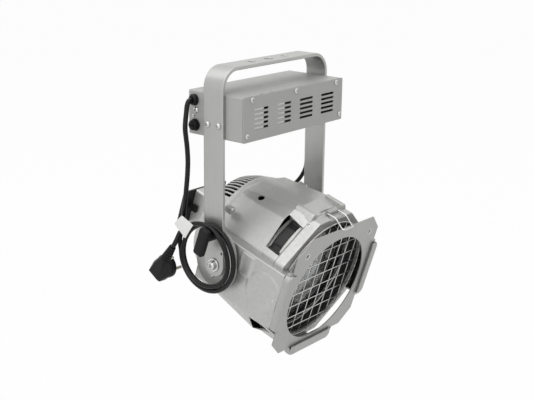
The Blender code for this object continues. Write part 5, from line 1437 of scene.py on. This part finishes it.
@dataclass
class Front(Assembly):
    """Lens unit, guard, colour frame, gutters and the wire over the frame."""

    body = Body.HEAD
    frame = HEAD
    frame_half: float = 0.095
    frame_chamfer: float = 0.022
    frame_u: float = 0.1171
    guard_u: float = 0.1018
    guard_wire: float = 0.0007
    guard_radius: float = 0.094
    guard_pitch: float = 0.0205
    end_round: float = 0.009

    def lens(self) -> None:
        """Ring with raised pads, glass, and the wire that keeps the glass in."""
        def pads(along: Array, radius: Array, angle: Array) -> Array:
            """Grooves 2 mm deep between 15 pads, and a shallower one across the middle of each.

            Args:
                along: place along the beam axis.
                radius: radius there.
                angle: angle about the axis.

            Returns:
                The radius less the groove.
            """
            phase = (angle * 15 / TURN) % 1
            groove = 0.002 * ((phase < 0.1) | (phase > 0.9)) + 0.0007 * (np.abs(phase - 0.5) > 0.33)
            return radius - np.where((along < -0.061) & (along > -0.086) & (radius > 0.095), groove, 0)

        outer, inner, shelf, edge = 0.0977, 0.0897, 0.0825, 0.0894
        profile = [(-0.058, outer), (-0.06, outer), (-0.062, outer), (-0.0855, outer), (-0.0865, outer),
                   (-0.0972, outer), (-0.0972, inner), (-0.076, inner), (-0.076, shelf), (-0.072, shelf),
                   (-0.072, inner), (-0.058, inner)]
        ring = lathe(profile, 240, loop=True, wave=pads).moved(ALONG_BEAM)
        self.put("lens_holder_ring", ring, RING, "lens_ring", body=Body.LENS)
        r = np.linspace(edge, 0, 22)
        dome = stack(-(0.0803 + 0.005 * (1 - (r / edge) ** 2)), r)
        glass = lathe([(-0.0763, 0), (-0.0763, edge), *dome.tolist()], 96).moved(ALONG_BEAM)
        self.put("lens_glass", glass, GLASS, "lens", body=Body.LENS)
        t = around(96)
        clip = tube(0.0883 * stack(np.cos(t), 0, np.sin(t)) - (0, 0.0818, 0), 0.0011, 10, closed=True)
        self.put("lens_spring_wire", clip, STEEL, "lens_clip", body=Body.LENS)

    def guard(self) -> None:
        """Net of straight round wires welded to a hoop: upright ones lie one wire behind the level ones."""
        wire, u = self.guard_wire, self.guard_u
        shells = []
        for a in (np.arange(8) - 3.5) * self.guard_pitch:
            reach = np.sqrt(self.guard_radius**2 - a**2)
            line = np.linspace(-reach, reach, 9)
            shells += [tube(stack(a, -u, line), wire, 8), tube(stack(line, -u - 1.6 * wire, a), wire, 8)]
        t = around(120)
        hoop = stack(self.guard_radius * np.cos(t), -u - wire, self.guard_radius * np.sin(t))
        self.put("guard_net", joined(*shells, tube(hoop, 0.0012, 12, closed=True)), STEEL, "wire_guard")

    def colour_frame(self) -> None:
        """Two eight-sided sheets with a round opening, riveted together, and the two eyelets, each with a black disc
        in its hollow as painted shade.
        """
        c, h = self.frame_half - self.frame_chamfer, self.frame_half
        outer = np.array([(c, -h), (h, -c), (h, c), (c, h), (-c, h), (-h, c), (-h, -c), (-c, -h)])
        holes = [circle(0.083, (0, -0.005), 96)] + [circle(0.0032, (s * 0.074, 0.07), 24) for s in (-1, 1)]
        sheets = [plate(outer, holes, 0.00094, 0.0003, upright(-(self.frame_u + off)))
                  for off in (0.00052, -0.00052)]
        self.put("colour_frame_sheets", joined(*sheets), SHEET, "colour_frame")
        for side, label in SIDES:
            way, at = (0, -1, 0), (side * 0.074, -self.frame_u, 0.07)
            eyelet = turned([(-0.0008, 0.0028), (0.001, 0.0032), (0.0014, 0.0036), (0.0013, 0.0042),
                             (0.0009, 0.0046), (-0.0008, 0.0029)], way, at, 32, loop=True)
            self.put(f"frame_eyelet_{label}", eyelet, STEEL)
            # A black disc in the eyelet's hollow: painted shade of the hole, on a part whose slot is steel.
            seat = turned([(-0.0012, 0), (-0.0012, 0.003), (-0.0004, 0.0031), (-0.0004, 0)], way, at)
            self.put(f"frame_eyelet_hollow_shade_{label}", seat, ENAMEL, slot=Slot.STEEL)

    def gutter(self, half_length: float, web: float) -> Shell:
        """A C section with a full round back, carried along its length. Near each end the back draws in as a
        quarter circle, so that the end is round.

        Args:
            half_length: half of its length.
            web: where its back is, from the middle of the head.

        Returns:
            A closed shell with its length along X and its depth along -Y, before it is turned into place.
        """
        lip, seat, rear, front, r = 0.0915, self.frame_half + 0.0006, 0.1115, 0.123, 0.0062
        t = np.linspace(0, QUARTER, 7)
        place, depth = np.vstack([
            [(web, rear + 0.0006), (web, front - r - 0.001)],
            stack(web - r + r * np.cos(t), front - r + r * np.sin(t)),
            [(lip + 0.0006, front), (lip, front - 0.0006), (lip, front - 0.0018), (seat, front - 0.002),
             (seat, rear + 0.002), (lip, rear + 0.002), (lip, rear), (web - 0.0006, rear)]]).T
        end = -1 + (1 - np.cos(t[1:])) * self.end_round / half_length
        along = np.concatenate([[-1], end, [-0.5, 0, 0.5], -end[::-1], [1]])[:, None] * half_length
        near = 1 - np.clip((half_length - np.abs(along)) / self.end_round, 0, 1)
        drawn = 1 - np.sqrt(np.clip(1 - near**2, 0, 1))
        across = place - (place > seat + 0.001) * drawn * 0.0075
        deep = depth - (depth > front - 0.0015) * drawn * 0.003
        return grid_shell(stack(along, -deep, across), wrap=True, caps=(0, -1))

    def gutters(self) -> None:
        """The three channels, a tab on each upright one and the foot of the lower one."""
        for side, label in SIDES:
            channel = self.gutter(0.046, 0.107).moved(Matrix.Rotation(side * QUARTER, 4, "Y"))
            tab = rounded_box((0.0075, 0.006, 0.0035), 0.0008, 2, (side * 0.0985, -0.1145, 0.047))
            self.put(f"side_channel_{label}", joined(channel, tab), SHEET, f"frame_gutter_{label}")
        channel = self.gutter(0.048, 0.11).moved(Matrix.Rotation(math.pi, 4, "Y"))
        foot = rounded_box((0.04, 0.0205, 0.002), 0.0004, at=(0, -0.1018, -0.1053))
        self.put("bottom_channel", joined(channel, foot), SHEET, "frame_gutter_bottom")

    def retainer(self) -> None:
        """Bright wire bail over the frame's top edge, in its block."""
        half, drop, reach = 0.0117, 0.0964 - 0.1046, 0.1216 - 0.087
        left = [(-half + 0.006, 0, 0), (-half + 0.002, 0, 0), (-half + 0.0004, -0.0006, 0),
                (-half, -0.003, 0), (-half, -0.0165, 0), (-half, -reach + 0.004, drop),
                (-half + 0.0008, -reach + 0.001, drop), (-half + 0.003, -reach, drop)]
        path = smooth_path([*left, *((-x, y, z) for x, y, z in reversed(left))], 0.0012)
        wire = tube(path, 0.0011, 12).moved(Matrix.Translation((0.005, -0.087, 0.1046)))
        self.put("frame_bail_wire", wire, STEEL, "frame_retainer", body=Body.BAIL)

    def build(self) -> None:
        """Make the front."""
        self.lens()
        self.guard()
        self.colour_frame()
        self.gutters()
        self.retainer()


@dataclass
class TiltLever(Assembly):
    """Clamping lever on the left leg; its hub carries the coil, and its paddle leans a little at rest."""

    body = Body.LEVER
    z: float = -0.2323
    lean: float = math.radians(20)

    def build(self) -> None:
        """Make the lever."""
        hub = turned([(0.0003, 0.0043), (0.0003, 0.0084), (0.0009, 0.009), (0.0165, 0.009),
                      (0.02, 0.009), (0.02, 0), (0.0125, 0), (0.0125, 0.0043)],
                     (-1, 0, 0), (-LEG_X, 0, self.z), 40)
        place = Matrix.Translation((-0.1398, 0, self.z - 0.00675)) @ Matrix.Rotation(self.lean, 4, "X")
        paddle = rounded_box((0.011, 0.0175, 0.043), 0.0042, 5).moved(place)
        self.put("clamping_lever", joined(hub, paddle), NYLON, "tilt_lever")


@dataclass
class MainsLead(Assembly):
    """The lead from the gland through its coil to the plug, with the plug and the flag on the cord."""

    radius: float = 0.0035
    turns: float = 1.875
    coil_radius: float = 0.05
    coil_inward: float = 0.0072
    centre: tuple[float, float] = (0.0078, -0.26734)
    plug_at: tuple[float, float, float] = (-0.1201, 0.0863, -0.299)
    cord_way: tuple[float, float, float] = (0.0, -0.568, 0.823)
    depth: float = 0.0175

    def plug_frame(self) -> Matrix:
        """The plug's own frame: Y along its pins, Z along the cord that leaves it, origin mid face."""
        cord, pins = Vector(self.cord_way).normalized(), Vector((1, 0, 0))
        return Matrix.Translation(self.plug_at) @ Matrix((pins.cross(cord), pins, cord)).transposed().to_4x4()

    def coil(self) -> Array:
        """Centre line of the coil. Smooth steps draw it in at 0.62 of a turn, 2.6 mm farther from the leg,
        and widen it again at 1.4 turns, another 5.6 mm farther out from 1.36 on.

        Returns:
            Places, 24 to a turn.
        """
        def ease(share: Array) -> Array:
            """Smooth step from 0 to 1."""
            s = np.clip(share, 0, 1)
            return s * s * (3 - 2 * s)

        turn = np.linspace(0, self.turns, round(self.turns * 24) + 1)
        inward, outward = ease((turn - 0.62) / 0.36), ease((turn - 1.4) / 0.36)
        radius = self.coil_radius - self.coil_inward * inward + self.coil_inward * outward
        across = -0.1222 - 0.0026 * inward - 0.0056 * ease((turn - 1.36) / 0.26)
        y, z = self.centre
        return stack(across, y + radius * np.cos(TURN * turn), z - radius * np.sin(TURN * turn))

    def route(self) -> Array:
        """The whole centre line, from the gland's face to the plug's boot.

        Returns:
            Places, shape (n, 3).
        """
        coil = self.coil()
        run = [(-0.1182, 0.039, -0.0485), (-0.1228, 0.0391, -0.0489), (-0.1262, 0.0393, -0.0548),
               (-0.1275, 0.0396, -0.064), (-0.129, 0.04, -0.076), (-0.1298, 0.04, -0.087),
               (-0.1283, 0.04, -0.099), (-0.1262, 0.04, -0.114), (-0.125, 0.04, -0.133),
               (-0.1258, 0.0403, -0.152), (-0.1268, 0.0412, -0.168), (-0.1265, 0.044, -0.187),
               (-0.125, 0.0485, -0.206), (-0.1235, 0.0532, -0.228)]
        before, after = (coil[a] + (coil[a] - coil[b]) / np.linalg.norm(coil[a] - coil[b]) * far
                         for a, b, far in ((0, 1, 0.016), (-1, -2, 0.01)))
        boot = [np.array(self.plug_frame() @ Vector((0, -self.depth, 0.0475 + up))) for up in (0.01, 0.0003)]
        return smooth_path([*run, before, *coil, after, *boot], 0.0025)

    def build(self) -> None:
        path = self.route()
        lead = self.put("mains_cable", tube(path, self.radius, 18), SHEATH,
                        "mains_lead", "mains_coil", "plug_tail")
        log.info("mains lead is %.3f m long", length_of(path))
        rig.cord(lead, exit=tuple(path[0]), length=length_of(path), diameter=2 * self.radius, far_end="plug",
                stiffness="medium", lay="coiled", path=path.tolist(), with_pieces=[*self.plug(), self.flag()])

    def wedge(self) -> Shell:
        """The plug's body: the smallest hull round the face's ring, the neck's ring and the cut corners.

        Returns:
            A closed shell in the plug's frame.
        """
        t = np.radians(np.arange(0, 360, 15))
        ring = stack(0.01645 * np.cos(t), -0.006, 0.01645 * np.sin(t))
        neck = stack(0.008 * np.cos(t), 0.008 * np.sin(t) - self.depth, 0.0215)
        corners = [(s * a, d, u) for s in (-1, 1) for a, d, u in (
            (0.012, -0.006, -0.0175), (0.012, -0.02, -0.0165), (0.0095, -0.0258, -0.012),
            (0.0085, -0.0258, 0.006), (0.0165, -0.014, -0.003))]
        work = bmesh.new()
        for place in np.vstack([ring, neck, corners]):
            work.verts.new(place)
        bmesh.ops.convex_hull(work, input=work.verts)
        bmesh.ops.delete(work, geom=[v for v in work.verts if not v.link_faces], context="VERTS")
        bmesh.ops.dissolve_limit(work, angle_limit=math.radians(4), verts=work.verts, edges=work.edges)
        work.verts.index_update()
        shell = Shell(np.array([v.co for v in work.verts]), [[v.index for v in f.verts] for f in work.faces])
        work.free()
        return shell

    def plug(self) -> list[Piece]:
        """Angled plug: a wedge body with cut corners, a round face, a ribbed boot, pins and side contacts.

        Returns:
            Its pieces.
        """
        frame = self.plug_frame()
        out = [self.put("plug_body", self.wedge().moved(frame), NYLON, "plug", slot=Slot.RUBBER, bevel=0.0011,
                        angle=14)]
        face = lathe([(-0.007, 0), (-0.007, 0.0168), (-0.0062, 0.0175), (-0.0008, 0.0175), (0, 0.0168),
                      (0, 0)], 64)
        out.append(self.put("plug_face", face.moved(frame @ ALONG_BEAM), NYLON, slot=Slot.RUBBER))
        profile = [(0.0195, 0), (0.0195, 0.0077)]
        for rib in range(5):
            a, r = 0.0215 + 0.0047 * (rib + 0.35), 0.008 - 0.003 * (rib + 1) / 6
            profile += [(a, r), (a + 0.0003, r - 0.0003), (a + 0.0004, r - 0.0013), (a + 0.0013, r - 0.0013),
                        (a + 0.0014, r - 0.0003), (a + 0.0017, r)]
        boot = lathe([*profile, (0.047, 0.005), (0.0475, 0.0045), (0.0475, 0)], 32)
        boot = boot.moved(frame @ Matrix.Translation((0, -self.depth, 0)))
        out.append(self.put("plug_boot", boot, NYLON, slot=Slot.RUBBER, angle=40))
        for side, label in ((-1, "rear"), (1, "front")):
            pin = lathe([(-0.0047, 0), (-0.0047, 0.0024), (0.0168, 0.0024), (0.0182, 0.0019),
                         (0.019, 0.001), (0.019, 0)], 24)
            pin = pin.moved(frame @ Matrix.Translation((side * 0.0095, 0, 0)) @ ALONG_BEAM)
            out.append(self.put(f"plug_round_pin_{label}", pin, NICKEL, f"plug_pin_{label}"))
        clips = [rounded_box((0.005, 0.0058, 0.001), 0.0003, at=(0, -0.0034, s * 0.0172)) for s in (-1, 1)]
        out.append(self.put("plug_side_contacts", joined(*clips).moved(frame), NICKEL))
        return out

    def flag(self) -> Piece:
        """Blank flag on the cord, bowed a millimetre or so across its width.

        Returns:
            The piece.
        """
        corners = np.array([(0.043, -0.2106), (0.0214, -0.2203), (0.037, -0.2429), (0.0579, -0.2256)])
        n, last, half = 13, 12, 0.0003
        s, t = np.meshgrid(np.linspace(0, 1, n), np.linspace(0, 1, n), indexing="ij")
        weights = ((1 - s) * (1 - t), (1 - s) * t, s * t, s * (1 - t))
        flat = sum(weight[..., None] * corner for weight, corner in zip(weights, corners))
        bow = 0.0011 * np.sin(math.pi * s) * (1 - 0.5 * t)
        shell = joined(*(grid_shell(stack(-0.1351 - bow + d, flat[..., 0], flat[..., 1]))
                         for d in (-half, half)))
        number = np.arange(n * n).reshape(n, n)
        edge = np.concatenate([number[0], number[1:, last], number[last, :last][::-1],
                               number[1:last, 0][::-1]])
        after = np.roll(edge, -1)
        shell.faces += stack(edge, after, after + n * n, edge + n * n).tolist()
        return self.put("cord_flag", shell, PAPER, "cord_tag")


@dataclass
class LampLead(Assembly):
    """Lead from the box's right end to the lamp base."""

    radius: float = 0.0032
    bend_start: tuple[float, float, float] = (0.134, 0.033, -0.194)
    bend_end: tuple[float, float, float] = (0.06, 0.11, -0.249)

    def build(self) -> None:
        end = HEAD @ Vector((0.0376, 0.113, 0))
        points = [(0.1182, 0.0275, -0.085), (0.1228, 0.0275, -0.0854), (0.132, 0.0276, -0.0882),
                  (0.1388, 0.0277, -0.095), (0.1413, 0.0278, -0.106), (0.1405, 0.028, -0.122),
                  (0.1375, 0.0284, -0.145), (0.135, 0.03, -0.17), self.bend_start,
                  (0.126, 0.044, -0.216), (0.106, 0.064, -0.235), (0.084, 0.088, -0.2465),
                  tuple(end + Vector((0.016, 0, 0))), tuple(end)]
        path = smooth_path(points, 0.0025)
        lead = self.put("lamp_cable", tube(path, self.radius, 16), SHEATH, "lamp_lead", body=None)
        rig.blend(lead, Body.YOKE.value, Body.HEAD.value, start=self.bend_start, end=self.bend_end)
        log.info("lamp lead is %.3f m long", length_of(path))
        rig.cord(lead, exit=tuple(path[0]), length=length_of(path), diameter=2 * self.radius, far_end="object",
                stiffness="medium", lay="hanging", path=path.tolist())


@dataclass
class Studio:
    """Camera, lights, floor and surroundings."""

    azimuth: float = -50.6347
    elevation: float = 16.3623
    roll: float = -0.7072
    focal_px: float = 1037.0711
    offset: tuple[float, float, float] = (0.003, -0.2006, 1.469)
    width_px: int = 533
    sensor_mm: float = 36
    aim: tuple[float, float, float] = (0, 0, -0.2)
    floor_z: float = -0.62
    floor_half: float = 30.0
    floor_white: float = 0.96

    def add(self, name: str, data: bpy.types.ID) -> bpy.types.Object:
        """An object in the scene that shows the data.

        Args:
            name: its name.
            data: mesh, light or camera.

        Returns:
            The object.
        """
        made = bpy.data.objects.new(name, data)
        bpy.context.scene.collection.objects.link(made)
        return made

    def camera(self) -> None:
        """The photograph's camera, as solved from it."""
        az, el, roll = (math.radians(a) for a in (self.azimuth, self.elevation, self.roll))
        forward = Vector((-math.sin(az) * math.cos(el), math.cos(az) * math.cos(el), -math.sin(el)))
        right = Vector((math.cos(az), math.sin(az), 0))
        down = forward.cross(right)
        across = right * math.cos(roll) + down * math.sin(roll)
        low = down * math.cos(roll) - right * math.sin(roll)
        data = bpy.data.cameras.new("camera")
        data.sensor_width, data.lens = self.sensor_mm, self.focal_px * self.sensor_mm / self.width_px
        placed = Matrix((across, -low, -forward)).transposed().to_4x4()
        placed.translation = -(across * self.offset[0] + low * self.offset[1] + forward * self.offset[2])
        camera = self.add("camera", data)
        camera.matrix_world = placed
        bpy.context.scene.camera = camera

    def lamp(self, name: str, at: Point, size: float, power: float) -> None:
        """One square soft light that faces the object.

        Args:
            name: its name.
            at: where it hangs.
            size: side length.
            power: watts.
        """
        data = bpy.data.lights.new(name, "AREA")
        data.size, data.energy, data.shape = size, power, "SQUARE"
        lamp = self.add(name, data)
        lamp.location = at
        lamp.visible_transmission = False
        lamp.rotation_euler = (Vector(self.aim) - Vector(at)).to_track_quat("-Z", "Y").to_euler()

    def seen(self, tree: bpy.types.NodeTree, *rays: str) -> bpy.types.NodeSocket:
        """A socket that is 1 for the named kinds of ray and 0 for others.

        Args:
            tree: node tree that it is added to.
            rays: names of the light path's outputs.

        Returns:
            The socket.
        """
        path = add_node(tree, "LightPath")
        found = path.outputs[rays[0]]
        for ray in rays[1:]:
            either = add_node(tree, "Math", {"operation": "MAXIMUM"}, {0: found, 1: path.outputs[ray]})
            found = either.outputs[0]
        return found

    def surroundings(self) -> None:
        """White for the camera and for reflections, and a plain level of light for everything else."""
        world = bpy.data.worlds.new("studio")
        bpy.context.scene.world = world
        world.use_nodes = True
        tree = world.node_tree
        tree.nodes.clear()
        seen = self.seen(tree, "Is Camera Ray", "Is Glossy Ray", "Is Transmission Ray")
        plain, white = (add_node(tree, "Background", {"Color": (1, 1, 1, 1), "Strength": strength})
                        for strength in (0.5, 1.0))
        mix = add_node(tree, "MixShader", None, {0: seen, 1: plain.outputs[0], 2: white.outputs[0]})
        add_node(tree, "OutputWorld", None, {"Surface": mix.outputs[0]})

    def floor(self) -> None:
        """A pale floor that the camera and reflections see nearly white, with the object's shadow on it."""
        mesh = bpy.data.meshes.new("floor")
        corners = ((-1, -1), (1, -1), (1, 1), (-1, 1))
        mesh.from_pydata([(x * self.floor_half, y * self.floor_half, self.floor_z) for x, y in corners], [],
                         [(0, 1, 2, 3)])
        made = bpy.data.materials.new("floor_paper")
        made.use_nodes = True
        tree = made.node_tree
        shader = tree.nodes["Principled BSDF"]
        shader.inputs["Base Color"].default_value = linear("f2f2f2")
        shader.inputs["Roughness"].default_value = 0.9
        share = add_node(tree, "Math", {"operation": "MULTIPLY", 1: self.floor_white},
                         {0: self.seen(tree, "Is Camera Ray", "Is Glossy Ray")})
        glow = add_node(tree, "Emission", {"Color": (1, 1, 1, 1), "Strength": 1.0})
        mix = add_node(tree, "MixShader", None,
                       {0: share.outputs[0], 1: shader.outputs[0], 2: glow.outputs[0]})
        tree.links.new(mix.outputs[0], tree.nodes["Material Output"].inputs["Surface"])
        mesh.materials.append(made)
        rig.stage(self.add("floor", mesh))

    def build(self) -> None:
        """Set the studio up."""
        bpy.context.scene.view_settings.view_transform = "Standard"
        self.surroundings()
        self.floor()
        self.lamp("overhead", (-0.3, 0.1, 1.6), 2.6, 24)
        self.lamp("left", (-2.2, -0.2, 0.5), 2.0, 9)


def main() -> None:
    """Build the dressed spotlight, assembly by assembly."""
    logging.basicConfig(level=logging.INFO, format="%(name)s: %(message)s")
    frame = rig.load()
    before = [list(corner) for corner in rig.bounds()]
    shop, studio = Workshop(frame), Studio()
    studio.camera()
    for assembly in (MainsLead, LampLead, Yoke, BallastBox, Casting, LampCap, Front, TiltLever):
        assembly(shop).build()
    shop.dress_nodes()
    studio.build()
    after = [list(corner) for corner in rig.bounds()]
    with open("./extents.json", "w", encoding="utf-8") as out:
        json.dump({"before": before, "after": after}, out)
    log.info("size before %s, after %s", before, after)


if __name__ == "__main__":
    main()
